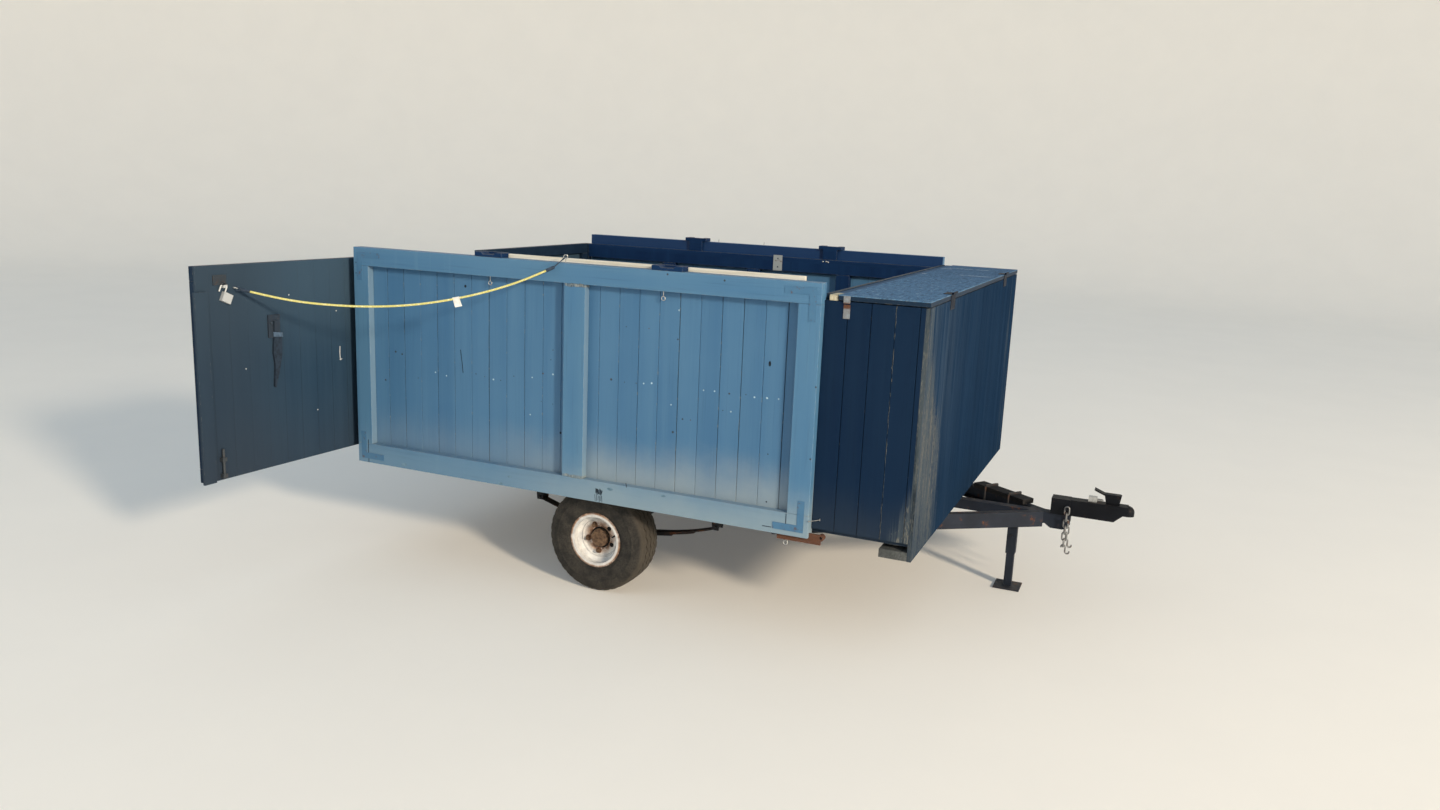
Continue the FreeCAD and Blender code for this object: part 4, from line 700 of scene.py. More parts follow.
def stripWood():    # the strip behind the lid: cream wood at its near end, dark with a pale upper edge beyond
    material, point = newMaterial("lidStripWood", 0.75, 0.0, 0.06)
    fibre = shared(fibres, point, crosswise)[0]
    colour = blend(smooth(fibre, 0.35, 0.7), *stripTints["bare"])
    painted = blend(shared(edgeRub, point, 0.004, 0.9)[0], *stripTints["painted"])
    colour = blend(smooth(axesOf(point)[1], -1.07, -1.03) * 0.96, colour, painted)
    return dress(material, colour, fibre, 0.001, 0.6)


ironTints = {"paint": ((61, 104, 141), (76, 118, 151)), "zinc": (150, 158, 162)}


def bracketPaint():    # corner irons under the wall's paint, and the galvanised plate inside the far wall
    material, point = newMaterial("ironPaint", 0.5)
    platePlace = 1.10
    cloud = noise(point, 24.0, 4)
    colour = blend(cloud, *ironTints["paint"])
    colour = blend(abs(axesOf(point)[1] - platePlace) < 0.01, colour, ironTints["zinc"])
    mask, rustColour = shared(rustBloom, point, 40.0, 0.24)[:2]
    return dress(material, blend(mask * 0.7, colour, rustColour), cloud, 0.0004, 0.3)


coverTints = {"fleck": ((204, 198, 118), (236, 232, 200)), "weave": (150, 148, 84)}


def cordCover():    # woven cover: pale yellow-green with white flecks on a slant
    material, point = newMaterial("cordCover", 0.7)
    weave = made(point.tree, "ShaderNodeTexVoronoi", 0, {"Vector": point, "Scale": 330.0})
    fleck = noise(point, 210.0, 2, 0.5)
    colour = blend(smooth(fleck, 0.56, 0.62, 0.0, 0.8), *coverTints["fleck"])
    colour = blend(smooth(weave, 0.1, 0.5, 0.35, 0.0), colour, coverTints["weave"])
    return dress(material, colour, weave, 0.0007, 0.8)


def both(name):    # the right and the left one of a pair of nodes
    return [name.format(hand) for hand in ("right", "left")]


darkTimber = dict(charcoalTimber, paint=(24, 40, 60), faded=(34, 52, 72), rub=0.35)
chainSteel = rustySteel("chainSteel", (118, 120, 122), 0.3, 0.4, metallic=0.7, scale=60.0, tint=0.2)
brightSteel = plain("brightSteel", (178, 180, 180), 0.3, metallic=0.85, scale=80.0, rust=0.25)
blackPlastic = plain("blackPlastic", (26, 27, 30), 0.45)
tyreRubber = rubber()
coverFinish = cordCover()

finishes = (
    (paintedTimber("bluePaintBoards", blueBoards), both("wall_{}_boards")),
    (paintedTimber("bluePaintFrame", blueFrame, jointWear), both("wall_{}_frame")),
    (paintedTimber("charcoalDoorPaint", charcoalDoor), [*both("door_{}_sheet"), "door_right_astragal"]),
    (paintedTimber("charcoalLockerPaint", charcoalBoards, nearCorner), ["locker_sides"]),
    (paintedTimber("charcoalFacePaint", charcoalFace, faceWear), ["locker_face"]),
    (paintedTimber("charcoalTimberPaint", charcoalTimber),
     [*both("wall_{}_studs"), "saddle_blocks", "floor_joists"]),
    (paintedTimber("darkTimberPaint", darkTimber),
     [*both("door_{}_battens"), "locker_posts", "locker_bulkhead", "locker_floor", "corner_posts",
      "lid_sheet"]),
    (bareTimber("creamBatten", (228, 226, 216), (204, 198, 180), lengthwise, 0.15), ["top_battens"]),
    (stripWood(), ["locker_top_strip"]),
    (bareTimber("silveredTimber", (92, 96, 96), (58, 62, 64), crosswise, 0.7), ["foot_beam"]),
    (bareTimber("oldPlank", (40, 38, 38), (22, 24, 28), lengthwise, 0.6), ["drawbar_plank"]),
    (bareTimber("floorPly", (122, 114, 100), (92, 86, 76), lengthwise, 0.4), ["floor_deck"]),
    (rustySteel("drawbarSteel", (19, 27, 40), 0.2, scale=18.0, tint=0.25),
     [*both("drawbar_arm_{}"), "drawbar_beam", "leg_socket", "drop_leg"]),
    (rustySteel("couplerSteel", (11, 14, 20), 0.12, 0.5, scale=20.0, tint=0.12, specular=0.12),
     ["coupler_body", "coupler_latch"]),
    (rustySteel("railSteel", (24, 28, 34), 0.28),
     ["side_rails", "crossmembers", "spring_hangers", "axle_beam"]),
    (rustySteel("springSteel", (32, 32, 34), 0.26), ["leaf_springs", "spring_clamps"]),
    (rustySteel("hingeSteel", (42, 50, 60), 0.34, 0.5), [*both("door_{}_hinges"), "door_hinge_leaves"]),
    (rustySteel("clampSteel", (26, 28, 32), 0.3, 0.6, metallic=0.1, scale=30.0), ["plank_clamps"]),
    (chainSteel, ["safety_chains"]),
    (hubPaint(), both("hub_{}")),
    (wheelPaint(), both("rim_{}")),
    (tyreRubber, both("tyre_{}")),
    (lidFittings(), ["lid_hardware", "locker_hardware"]),
    (roofFelt(), ["lid_felt"]),
    (doorHardware(), ["door_right_fittings"]),
    (bracketPaint(), ["wall_irons"]),
    (brightSteel, ["eye_screws", "coupler_lock"]),
    (plain("lampPlastic", (138, 22, 20), 0.2, spread=0.1), ["tail_lamps"]),
    (blackPlastic, ["bungee_hook_door", "bungee_hook_wall"]),
    (coverFinish, ["bungee_cord"]),
)
dressed = set()
for material, names in finishes:
    for name in names:
        mesh = nodes[name].data
        mesh.materials.clear()
        mesh.materials.append(material)
        dressed.add(name)
print("finishes on", len(dressed), "pieces; left plain:", sorted(set(nodes) - dressed))


# Shared mesh makers

sharpFrom = 42       # an edge between faces that differ by more degrees stays sharp
ringPoints = 24      # places along a wire ring
domeRings = ((1.0, -0.3), (1.0, 0.35), (0.72, 0.85))    # each ring's share of the width, and of the height


def makePiece(name, body, material, shape, soft=True):
    mesh = bpy.data.meshes.new(name)
    shape.to_mesh(mesh)
    shape.free()
    mesh.materials.append(material)
    piece = bpy.data.objects.new(name, mesh)
    scene.collection.objects.link(piece)
    mesh.polygons.foreach_set("use_smooth", [soft] * len(mesh.polygons))
    if soft:
        mesh.set_sharp_from_angle(angle=math.radians(sharpFrom))
    if body:
        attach(piece, body)
    return piece


def newRing(shape, centre, out, up, sides):    # corners round a centre; out and up reach from it to the ring
    turns = [math.tau * k / sides for k in range(sides)]
    return [shape.verts.new(centre + out * math.cos(turn) + up * math.sin(turn)) for turn in turns]


def joinRings(shape, rings):
    for one, two in zip(rings, rings[1:]):
        for k in range(len(one)):
            after = (k + 1) % len(one)
            shape.faces.new((one[k], one[after], two[after], two[k]))


def addTube(shape, path, radius, sides=12, closed=False):    # a round wire; radius is one or a list
    count = len(path)
    radii = radius if isinstance(radius, list) else [radius] * count
    rings, side = [], None
    for index, point in enumerate(path):
        before = path[index - 1] if index or closed else point
        after = path[(index + 1) % count] if index < count - 1 or closed else point
        run = (after - before).normalized()
        if side is None:
            side = run.orthogonal()
        side = (side - run * side.dot(run)).normalized()
        rings.append(newRing(shape, point, side * radii[index], run.cross(side) * radii[index], sides))
    if closed:
        last, first = rings[-1], rings[0]
        shift = min(range(sides), key=lambda k: (first[k].co - last[0].co).length)
        rings.append(first[shift:] + first[:shift])
    joinRings(shape, rings)
    if not closed:
        shape.faces.new(list(reversed(rings[0])))
        shape.faces.new(rings[-1])


def arcPoints(centre, out, up, start, end, steps):    # out is the zero direction, up the 90 degree one
    angles = [math.radians(start + (end - start) * step / steps) for step in range(steps + 1)]
    return [Vector(centre) + Vector(out) * math.cos(angle) + Vector(up) * math.sin(angle) for angle in angles]


def addRing(shape, centre, axis, radius, wire, sides=10):
    axis = axis.normalized()
    out = axis.orthogonal().normalized() * radius
    last = 360 - 360 / ringPoints
    addTube(shape, arcPoints(centre, out, axis.cross(out), 0, last, ringPoints - 1), wire, sides, True)


def addDome(shape, centre, normal, across, along, height, sides=12):    # a low round head on an upright face
    centre, normal = Vector(centre), Vector(normal).normalized()
    out = Vector((0, 0, 1)).cross(normal).normalized()
    up = normal.cross(out)
    rings = []
    for size, lift in domeRings:
        level = centre + normal * (lift * height)
        rings.append(newRing(shape, level, out * (across * size), up * (along * size), sides))
    top = shape.verts.new(centre + normal * height)
    shape.faces.new(list(reversed(rings[0])))
    joinRings(shape, rings)
    for k in range(sides):
        shape.faces.new((rings[-1][k], rings[-1][(k + 1) % sides], top))


def addSlab(shape, outline, place, low, high):    # a flat plate: outline on a face, from one lift to another
    sheets = [[shape.verts.new(place(*corner, lift)) for corner in outline] for lift in (low, high)]
    faces = [shape.faces.new(sheets[0]), shape.faces.new(list(reversed(sheets[1])))]
    for k in range(len(outline)):
        after = (k + 1) % len(outline)
        faces.append(shape.faces.new((sheets[0][k], sheets[0][after], sheets[1][after], sheets[1][k])))
    bmesh.ops.recalc_face_normals(shape, faces=faces)


# Wheels

tyreLook = {
    "plane": 1.0125,
    "side": [(0.080, 0.120), (0.080, 0.135), (0.0868, 0.1465), (0.0892, 0.149), (0.0896, 0.1535),
             (0.092, 0.162), (0.0945, 0.180), (0.095, 0.1885), (0.0947, 0.200), (0.0957, 0.202),
             (0.0955, 0.206), (0.0938, 0.2085), (0.091, 0.2215), (0.086, 0.2346), (0.0815, 0.243),
             (0.077, 0.250), (0.073, 0.254)],
    "crown": 0.257,
    "crownDrop": 0.003,
    "treadHalf": 0.073,
    "grooves": (0.037, 0.0, -0.037),
    "grooveProfile": ((1, 0), (0.55, 1), (-0.55, 1), (-1, 0)),    # shares of the half width and of the depth
    "grooveHalf": 0.0046,
    "grooveDepth": 0.008,
    "swing": 0.0055,
    "waves": 36,
    "steps": 6,
    "notchFrom": 0.240,
    "notchDepth": 0.002,
}
stem = {"angle": 13, "circle": 0.078, "depths": (1.040, 1.058, 1.066), "radii": (0.0034, 0.0040),
        "domeShare": 0.9, "dome": 0.0015}
# painted shade: near black discs stand for the dark inside of the empty stud holes
holeShade = plain("holeShade", (12, 12, 13), 0.9)
nutStain = plain("nutStain", (128, 92, 66), 0.8, spread=0.3, scale=140.0, rust=0.5)
studs = {    # a mark is its finish, its places in degrees, its radius and how far it stands out
    "circle": 0.068,
    "face": 1.0436,
    "marks": {"HoleShade": (holeShade, (47, 335), 0.0112, 0.0005),
              "Stains": (nutStain, (119, 191, 263), 0.0150, 0.0003)},
}


def onWheel(side, circle, degrees, depth):    # a place on a wheel, from its centre
    turn = math.radians(degrees)
    x, z = (middle + circle * part for middle, part in zip(wheelCentre, (math.cos(turn), math.sin(turn))))
    return Vector((x, side * depth, z))


def tyreSection(step):    # one closed cross section, from the outer bead over the tread to the inner bead
    look = tyreLook
    phase = step % look["steps"] / look["steps"]
    shift = look["swing"] * (4 * abs(phase - 0.5) - 1)
    notch = look["notchDepth"] if step % look["steps"] < 2 else 0.0
    side = [(offset, radius - notch * (radius > look["notchFrom"])) for offset, radius in look["side"]]
    tread = []
    for groove in look["grooves"]:
        for across, drop in look["grooveProfile"]:
            offset = groove + shift + across * look["grooveHalf"]
            fall = look["crownDrop"] * (offset / look["treadHalf"]) ** 2 + drop * look["grooveDepth"]
            tread.append((offset, look["crown"] - fall))
    return side + tread + [(-offset, radius) for offset, radius in reversed(side)]


def makeTyre(name, side, node, body):
    shape = bmesh.new()
    count = tyreLook["waves"] * tyreLook["steps"]
    rings = [[shape.verts.new(onWheel(side, radius, 90 - 360 * step / count, tyreLook["plane"] + offset))
              for offset, radius in tyreSection(step)] for step in range(count)]
    joinRings(shape, rings + rings[:1])
    bmesh.ops.recalc_face_normals(shape, faces=shape.faces)
    tyre = makePiece(name, body, tyreRubber, shape)
    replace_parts(tyre, node)


def makeStem(name, side, body):    # the valve, a rubber stem and its cap
    shape = bmesh.new()
    foot, shoulder, tip = (onWheel(side, stem["circle"], stem["angle"], depth) for depth in stem["depths"])
    addTube(shape, [foot, shoulder], stem["radii"][0])
    addTube(shape, [shoulder, tip], stem["radii"][1])
    top = stem["radii"][1] * stem["domeShare"]
    addDome(shape, tip, (0, side, 0), top, top, stem["dome"])
    makePiece(name, body, blackPlastic, shape)


def makeStudMarks(name, side, body):    # painted shade: black discs on the empty stud holes; and the rust stain round each nut
    for part, (material, angles, radius, height) in studs["marks"].items():
        shape = bmesh.new()
        for degrees in angles:
            centre = onWheel(side, studs["circle"], degrees, studs["face"])
            addDome(shape, centre, (0, side, 0), radius, radius, height, 20)
        makePiece(name + part, body, material, shape)


for side, hand in ((-1, "Right"), (1, "Left")):
    body = "wheel_" + hand.lower()
    makeStudMarks("stud" + hand, side, body)
    makeTyre("treadedTyre" + hand, side, "tyre_" + hand.lower(), body)
    makeStem("valveStem" + hand, side, body)
print("tyres made")


# Chains, eyes and small wire

chain = {"x": -0.276, "side": 0.055, "top": -0.0117, "links": 6, "step": 0.0326, "centreDrop": 0.013,
         "bend": 0.011, "reach": 0.010, "wire": 0.004, "hookBend": 0.010, "hookHeight": 0.050}
eyes = {    # centre, where the shank ends, a point in the ring's plane
    "list": [((-2.873, -1.1765, 0.976), (-2.873, -1.1765, 1.008), (-2.872, -1.1765, 0.975)),
             ((-1.964, -1.1765, 0.976), (-1.964, -1.1765, 1.008), (-1.963, -1.1765, 0.975)),
             ((-2.456, -1.1875, 1.126), (-2.456, -1.1875, 1.098), (-2.519, -1.226, 1.067)),
             ((-1.341, -1.1655, -0.040), (-1.341, -1.1655, 0.003), (-1.340, -1.1655, -0.041))],
    "ring": 0.009, "wire": 0.002, "shank": 0.0018,
}
gateHook = {"start": (-1.2290, -1.1990, 0.083), "end": (-1.1950, -1.1545, 0.083), "ring": 0.0045,
            "wire": 0.0014, "straightFrom": 0.14}


def makeChains():
    shape = bmesh.new()
    wire, bend, hookBend, rise = chain["wire"], chain["bend"], chain["hookBend"], Vector((0, 0, 1))
    for side in (-1, 1):
        top = Vector((chain["x"], side * chain["side"], chain["top"]))
        for number in range(chain["links"]):
            centre, reach = top - rise * chain["centreDrop"], rise * chain["reach"]
            out, up = Vector((0, bend, 0)) if number % 2 else Vector((bend, 0, 0)), rise * bend
            upperHalf = arcPoints(centre + reach, out, up, 0, 180, 8)
            addTube(shape, upperHalf + arcPoints(centre - reach, out, up, 180, 360, 8), wire, 10, True)
            top.z -= chain["step"]
        upper = top + rise * (2 * wire - hookBend)
        lower = upper - rise * (chain["hookHeight"] - 2 * wire - 2 * hookBend)
        out, up = Vector((hookBend, 0, 0)), rise * hookBend
        path = arcPoints(upper, out, up, 200, 0, 12) + arcPoints(lower + out * 2, out, up, 180, 380, 12)
        addTube(shape, path, wire, 10)
    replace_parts(makePiece("chainsAndHooks", "chassis", chainSteel, shape), "safety_chains")


def makeEyes():
    shape = bmesh.new()
    for centre, foot, pull in eyes["list"]:
        centre, foot = Vector(centre), Vector(foot)
        shank = (foot - centre).normalized()
        addRing(shape, centre, shank.cross(Vector(pull) - centre), eyes["ring"], eyes["wire"])
        addTube(shape, [centre + shank * eyes["ring"], foot], eyes["shank"], 10)
    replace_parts(makePiece("screwEyes", "chassis", brightSteel, shape), "eye_screws")


def makeGateHook():    # the small wire hook between the wall and the locker
    shape = bmesh.new()
    start, end, wire = Vector(gateHook["start"]), Vector(gateHook["end"]), gateHook["wire"]
    addRing(shape, start, Vector((0, 0, 1)), gateHook["ring"], wire)
    addTube(shape, [start + (end - start) * gateHook["straightFrom"], end], wire, 8)
    addRing(shape, end, Vector((1, 0, 0)), gateHook["ring"], wire)
    makePiece("gateHook", "chassis", brightSteel, shape)


makeChains()
makeEyes()
makeGateHook()
print("chains and eyes made")


# Nail heads, knots, cracks and scuffs

draws = random.Random(7)
darkHead = plain("darkHead", (48, 62, 76), 0.6, spread=0.2, scale=90.0, rust=0.3)
# one dark finish: painted shade in two bore holes, and the dark of cracks, joints, scuffs and a chip
shadeAndMarkPaint = plain("shadeAndDarkMarks", (22, 34, 46), 0.85)
boardFace, frameFace = -1.1575, -1.1955
marks = {    # the finish, the face, half the width and height, how far it stands out, and the places
    "paintedHeads": (plain("paleHead", (150, 178, 198), 0.5), boardFace, 0.0042, 0.0042, 0.0012, [
        (-3.211, .51), (-3.145, .5), (-2.869, .512), (-2.65, .546), (-2.536, .573), (-2.66, .365),
        (-2.059, .583), (-2.019, .589), (-1.919, .502), (-1.895, .928), (-1.763, .586), (-1.71, .588),
        (-1.522, .583), (-1.464, .586), (-1.411, .588), (-1.629, .506)]),
    "rustyHeads": (darkHead, boardFace, 0.0046, 0.0046, 0.0010, [
        (-3.521, .438), (-3.454, .589), (-3.414, .58), (-2.591, .571), (-2.226, .583), (-1.896, .799),
        (-1.906, .378), (-1.64, .585), (-1.86, .444), (-1.442, .126)]),
    "smallHeads": (darkHead, boardFace, 0.0026, 0.0026, 0.0007, [
        (-3.317, .47), (-2.97, .528), (-2.919, .52), (-2.828, .512), (-2.753, .541), (-2.548, .641),
        (-2.537, .688), (-2.599, .436), (-2.536, .431), (-2.157, .578), (-2.097, .58), (-1.562, .59),
        (-1.667, .507), (-1.821, .444), (-2.154, .832), (-2.04, .834), (-1.447, .34)]),
    # painted shade: dark discs for the inside of two bore holes
    "boreHoleShade": (shadeAndMarkPaint, boardFace, 0.0060, 0.0066, 0.0003, [(-3.029, .948), (-2.491, .298)]),
    "frameHeads": (darkHead, frameFace, 0.0040, 0.0040, 0.0008, [
        (-1.241, .355), (-1.236, .665), (-1.668, 1.077), (-1.938, 1.084)]),
    "frameKnots": (plain("knotPaint", (92, 122, 142), 0.5), frameFace, 0.0150, 0.0065, 0.0004, [
        (-3.532, .052), (-3.383, .025), (-2.75, .054), (-2.802, .012), (-2.2, .076), (-1.926, .086)]),
}
cracks = {
    "radius": 0.0017,
    boardFace: [[(-3.06, .638), (-3.055, .604), (-3.05, .567), (-3.046, .525)]],
    frameFace: [[(-3.639, 1.074), (-3.539, 1.0745)], [(-3.608, .124), (-3.6085, .06), (-3.608, .004)],
                [(-1.335, .101), (-1.3345, .042)], [(-1.442, .028), (-1.400, .0285)],
                [(-2.117, .118), (-2.113, .098)],
                [(-3.662, .969), (-3.650, .970), (-3.650, 1.023), (-3.662, 1.022)]],
}
smear = {    # dark strokes on the bottom rail; one in three is a lower, thinner one
    "count": 16, "start": -2.276, "step": 0.0024,
    "upper": (0.044, 0.068, 0.0017), "lower": (0.008, 0.040, 0.0011),
}
darkChip = {"place": (-1.459, boardFace, .736), "size": (0.006, 0.012, 0.0005)}
farBolts = {
    "heads": (-1.978, -1.958, -1.944), "face": 1.1014, "height": 1.024, "size": (0.0055, 0.0055, 0.0028),
    "pins": (-2.73, -2.41), "pinFace": 1.176, "pinSpan": (1.095, 1.117), "pinRadius": 0.0018,
}
door = {    # places on the open right door's outer face: from the hinge along the door, and up
    "turn": 177.0,
    "back": 0.005,
    "strap": [(.553, .700), (.508, .700), (.512, .600), (.532, .520), (.554, .452), (.561, .458),
              (.553, .560), (.561, .620)],
    "strapLift": (0.0005, 0.0115),
    # the clip is a small plate made light grey, as a painted highlight on the latch
    "clip": [(.560, .716), (.506, .708), (.506, .688), (.560, .694)],
    "clipLift": (0.0116, 0.0150),
    "screw": (.566, .757, 0.0124),
    "screwSize": (0.007, 0.007, 0.003),
    "scratches": [[(.143, .600), (.145, .565), (.143, .529)], [(.132, .534), (.146, .531)]],
    "scratchRadius": 0.0022,
    "chips": ((.71, .56), (.45, .88), (.30, .30), (.16, .78)),
    "chipSize": (0.003, 0.003, 0.0006),
}


def onDoor(along, height, lift=0.0):
    turn, x = math.radians(door["turn"]), door["back"] - lift
    return Vector((doorPin[0] + x * math.cos(turn) - along * math.sin(turn),
                   doorPin[1] + x * math.sin(turn) + along * math.cos(turn), height))


doorOut = onDoor(0, 0, 1) - onDoor(0, 0)


def makeLatch():    # the rubber strap of the door's latch, its clip, made light as a painted highlight, and the screw above them
    for name, part, finish in (("latchStrap", "strap", plain("strapRubber", (31, 43, 57), 0.7)),
                               ("latchClipHighlight", "clip", plain("clipSteelHighlight", (72, 90, 110), 0.4))):
        shape = bmesh.new()
        addSlab(shape, door[part], onDoor, *door[part + "Lift"])
        makePiece(name, "door_right", finish, shape, False)
    shape = bmesh.new()
    addDome(shape, onDoor(*door["screw"]), doorOut, *door["screwSize"])
    makePiece("latchScrew", "door_right", darkHead, shape)


def makeHeads():
    for name, (material, face, across, along, height, places) in marks.items():
        shape = bmesh.new()
        for x, z in places:
            size = draws.uniform(0.8, 1.2)
            addDome(shape, (x, face, z), (0, -1, 0), across * size, along * size, height)
        makePiece(name, "chassis", material, shape)


def makeCracks():
    shape = bmesh.new()
    for face in (boardFace, frameFace):
        for route in cracks[face]:
            addTube(shape, [Vector((x, face, z)) for x, z in route], cracks["radius"], 6)
    makePiece("cracksAndJoints", "chassis", shadeAndMarkPaint, shape)


def makeScuffs():    # the smear on the bottom rail, and a chip in a board
    shape = bmesh.new()
    for k in range(smear["count"]):
        low, high, radius = smear["upper" if k % 3 else "lower"]
        x = smear["start"] + smear["step"] * k
        start = Vector((x, frameFace, low + draws.uniform(-.004, .006)))
        end = Vector((x + draws.uniform(-.003, .003), frameFace, high + draws.uniform(-.006, .003)))
        addTube(shape, [start, end], radius, 6)
    addDome(shape, darkChip["place"], (0, -1, 0), *darkChip["size"])
    makePiece("darkScuffs", "chassis", shadeAndMarkPaint, shape)


def makeDoorChips():
    shape = bmesh.new()
    for scratch in door["scratches"]:
        addTube(shape, [onDoor(*place) for place in scratch], door["scratchRadius"], 6)
    for place in door["chips"]:
        addDome(shape, onDoor(*place), doorOut, *door["chipSize"])
    makePiece("doorChips", "door_right", plain("chippedPaint", (196, 200, 202), 0.6), shape)


def makeFarBolts():    # three bolt heads on the plate inside the far wall, and two pins on its rail
    shape = bmesh.new()
    for x in farBolts["heads"]:
        place = (x, farBolts["face"], farBolts["height"] + draws.uniform(-.004, .004))
        addDome(shape, place, (0, -1, 0), *farBolts["size"])
    low, high = farBolts["pinSpan"]
    for x in farBolts["pins"]:
        pin = [Vector((x, farBolts["pinFace"], low)), Vector((x + .002, farBolts["pinFace"], high))]
        addTube(shape, pin, farBolts["pinRadius"], 8)
    makePiece("farWallBolts", "chassis", brightSteel, shape)


makeHeads()
makeCracks()
makeScuffs()
makeDoorChips()
makeFarBolts()
makeLatch()
print("marks made")


# Edges of sawn timber, rounded a little

timber = {
    "nodes": [*both("wall_{}_frame"), *both("wall_{}_studs"), *both("door_{}_battens"),
              *both("door_{}_sheet"), "saddle_blocks", "top_battens", "foot_beam", "drawbar_plank",
              "locker_top_strip"],
    "width": 0.0022,
    "segments": 2,
    "merge": 0.00002,
    "flatUnder": 1,      # degrees between two faces
    "edgeFrom": 40,
}


def roundEdges(piece):
    piece.modifiers.new("join", "WELD").merge_threshold = timber["merge"]
    flat = piece.modifiers.new("flat", "DECIMATE")
    flat.decimate_type = "DISSOLVE"
    flat.angle_limit = math.radians(timber["flatUnder"])
    bevel = piece.modifiers.new("bevel", "BEVEL")
    bevel.width = timber["width"]
    bevel.segments = timber["segments"]
    bevel.angle_limit = math.radians(timber["edgeFrom"])


for name in timber["nodes"]:
    roundEdges(nodes[name])
print("timber edges rounded")


# Elastic cord, its hooks and its tag

cord = {
    "points": [(-3.712, -1.829, 0.922), (-3.615, -1.776, 0.898), (-3.514, -1.721, 0.880),
               (-3.410, -1.664, 0.871), (-3.304, -1.605, 0.867), (-3.196, -1.546, 0.870),
               (-3.090, -1.489, 0.880), (-2.985, -1.433, 0.898), (-2.885, -1.382, 0.922),
               (-2.788, -1.335, 0.951), (-2.694, -1.294, 0.985), (-2.605, -1.258, 1.023),
               (-2.519, -1.226, 1.067)],
    "radius": 0.005,
    "length": 1.373,
    "wallEye": ((-2.456, -1.1875, 1.126), (0, 0, -1)),
    "doorEye": ((-3.7546, -1.8548, 0.934), (-0.99863, 0.05234, 0)),
}
hookLook = {"ring": 0.009, "wire": 0.0025, "eyeWire": 0.002, "neck": 0.0023, "collar": 0.026}
sleeve = {    # the profile is shares of the sleeve's length and of its radius
    "length": 0.040, "radius": 0.0078, "gap": 0.0003, "overlap": 0.002,
    "profile": ((0, 0.86), (0.04, 1), (0.3, 1), (0.34, 0.93), (0.38, 1), (0.94, 1), (1, 0.7)),
}
hookPlastic = plain("hookPlastic", (46, 60, 78), 0.5)
tagPaper = plain("tagPaper", (214, 216, 214), 0.8, spread=0.05)
paperTag = {
    "along": -2.905, "halfWidth": 0.016, "length": 0.0336, "bends": 8, "thick": 0.0006, "drop": 0.004,
    "away": 0.0066, "curl": 0.003, "wave": 2.2, "twist": 0.002, "top": -0.35,
}


def smoothRoute(points):    # points along the smooth line that these points control
    curve = bpy.data.curves.new("route", "CURVE")
    curve.dimensions = "3D"
    curve.resolution_u = 12
    spline = curve.splines.new("NURBS")
    spline.points.add(len(points) - 1)
    for target, point in zip(spline.points, points):
        target.co = (*point, 1)
    spline.order_u = 3
    spline.use_endpoint_u = True
    holder = bpy.data.objects.new("route", curve)
    scene.collection.objects.link(holder)
    mesh = bpy.data.meshes.new_from_object(holder)
    path = [vertex.co.copy() for vertex in mesh.vertices]
    bpy.data.objects.remove(holder)
    bpy.data.curves.remove(curve)
    bpy.data.meshes.remove(mesh)
    return path


def makeHook(name, node, body, eye, shank, end, before):    # a ring through the eye, its neck and a sleeve
    shape = bmesh.new()
    eye, shank = Vector(eye), Vector(shank)
    run = (end - before).normalized()
    start = end - run * (sleeve["length"] - hookLook["collar"])
    mouth = end + run * (hookLook["collar"] + sleeve["gap"])
    along = (mouth - eye).normalized()
    centre = eye + along * (2 * hookLook["ring"] - hookLook["eyeWire"] - hookLook["wire"] - sleeve["gap"])
    addRing(shape, centre, along.cross(shank.cross(along)), hookLook["ring"], hookLook["wire"])
    addTube(shape, [centre + along * hookLook["ring"], mouth - run * sleeve["overlap"]], hookLook["neck"])
    points = [start + (mouth - start) * share for share, size in sleeve["profile"]]
    addTube(shape, points, [sleeve["radius"] * size for share, size in sleeve["profile"]], 16)
    hook = makePiece(name, body, hookPlastic, shape)
    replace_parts(hook, node)
    return hook


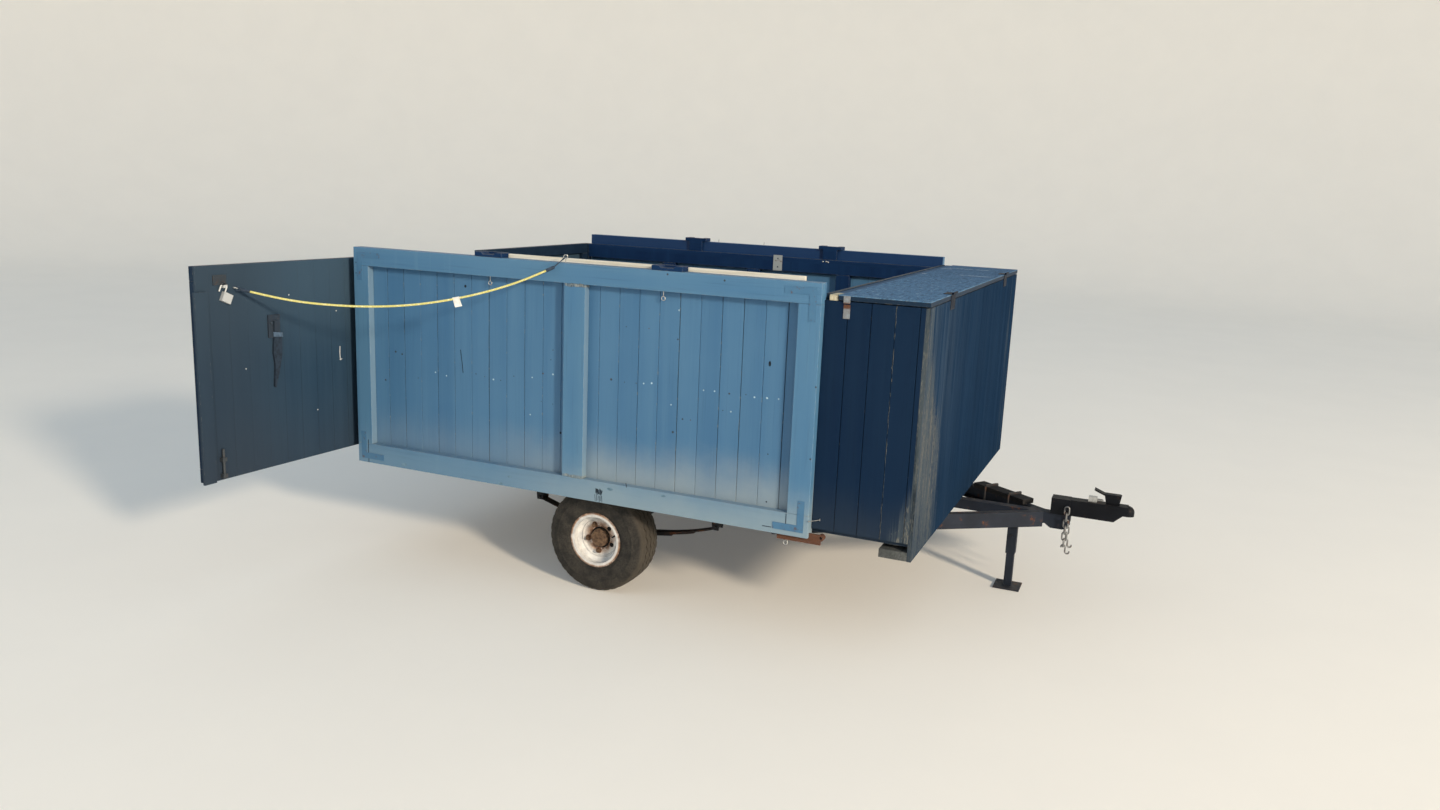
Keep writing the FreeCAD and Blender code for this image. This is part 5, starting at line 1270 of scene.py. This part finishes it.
def tagPoint(place, run, down, across, fall):    # across and fall are shares of its half width and length
    look = paperTag
    curl = look["curl"] * math.sin(look["wave"] * fall + across) + look["twist"] * across * across * fall
    place = place + run * (across * look["halfWidth"] + look["curl"] * fall)
    place = place + down * (look["length"] * fall + look["drop"])
    return place - run.cross(down) * (look["away"] + curl)


def makeTag(path):    # a blank paper tag stuck round the cord, hanging from it
    at = min(range(len(path)), key=lambda k: abs(path[k].x - paperTag["along"]))
    run = (path[at + 1] - path[at - 1]).normalized()
    down = (Vector((0, 0, -1)) + run * run.z).normalized()
    shape = bmesh.new()
    top, rows, columns = paperTag["top"], paperTag["bends"] + 1, 5
    falls = [top + (1 - top) * row / (rows - 1) for row in range(rows)]
    grid = [[tagPoint(path[at], run, down, across / 2, fall) for across in range(-2, 3)] for fall in falls]
    back = run.cross(down) * paperTag["thick"]
    near = [[shape.verts.new(point) for point in row] for row in grid]
    far = [[shape.verts.new(point - back) for point in row] for row in grid]
    for r in range(rows - 1):
        for c in range(columns - 1):
            corners = ((r, c), (r, c + 1), (r + 1, c + 1), (r + 1, c))
            shape.faces.new([near[row][column] for row, column in reversed(corners)])
            shape.faces.new([far[row][column] for row, column in corners])
    rim = [(0, c) for c in range(columns)] + [(r, columns - 1) for r in range(1, rows)]
    rim += [(rows - 1, c) for c in range(columns - 2, -1, -1)] + [(r, 0) for r in range(rows - 2, 0, -1)]
    for (r0, c0), (r1, c1) in zip(rim, rim[1:] + rim[:1]):
        shape.faces.new((near[r0][c0], near[r1][c1], far[r1][c1], far[r0][c0]))
    bmesh.ops.recalc_face_normals(shape, faces=shape.faces)
    tag = makePiece("blankTag", None, tagPaper, shape)
    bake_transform(tag)


def makeCord():
    path = smoothRoute(cord["points"])
    shape = bmesh.new()
    addTube(shape, path, cord["radius"], 14)
    piece = makePiece("elasticCord", None, coverFinish, shape)    # it rides on no body
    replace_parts(piece, "bungee_cord")
    points = [Vector(point) for point in cord["points"]]
    wallHook = makeHook("wallHook", "bungee_hook_wall", "chassis", *cord["wallEye"], points[-1], points[-2])
    doorHook = makeHook("doorHook", "bungee_hook_door", "door_right", *cord["doorEye"], points[0], points[1])
    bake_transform(piece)
    makeTag(path)


makeCord()
print("cord made")
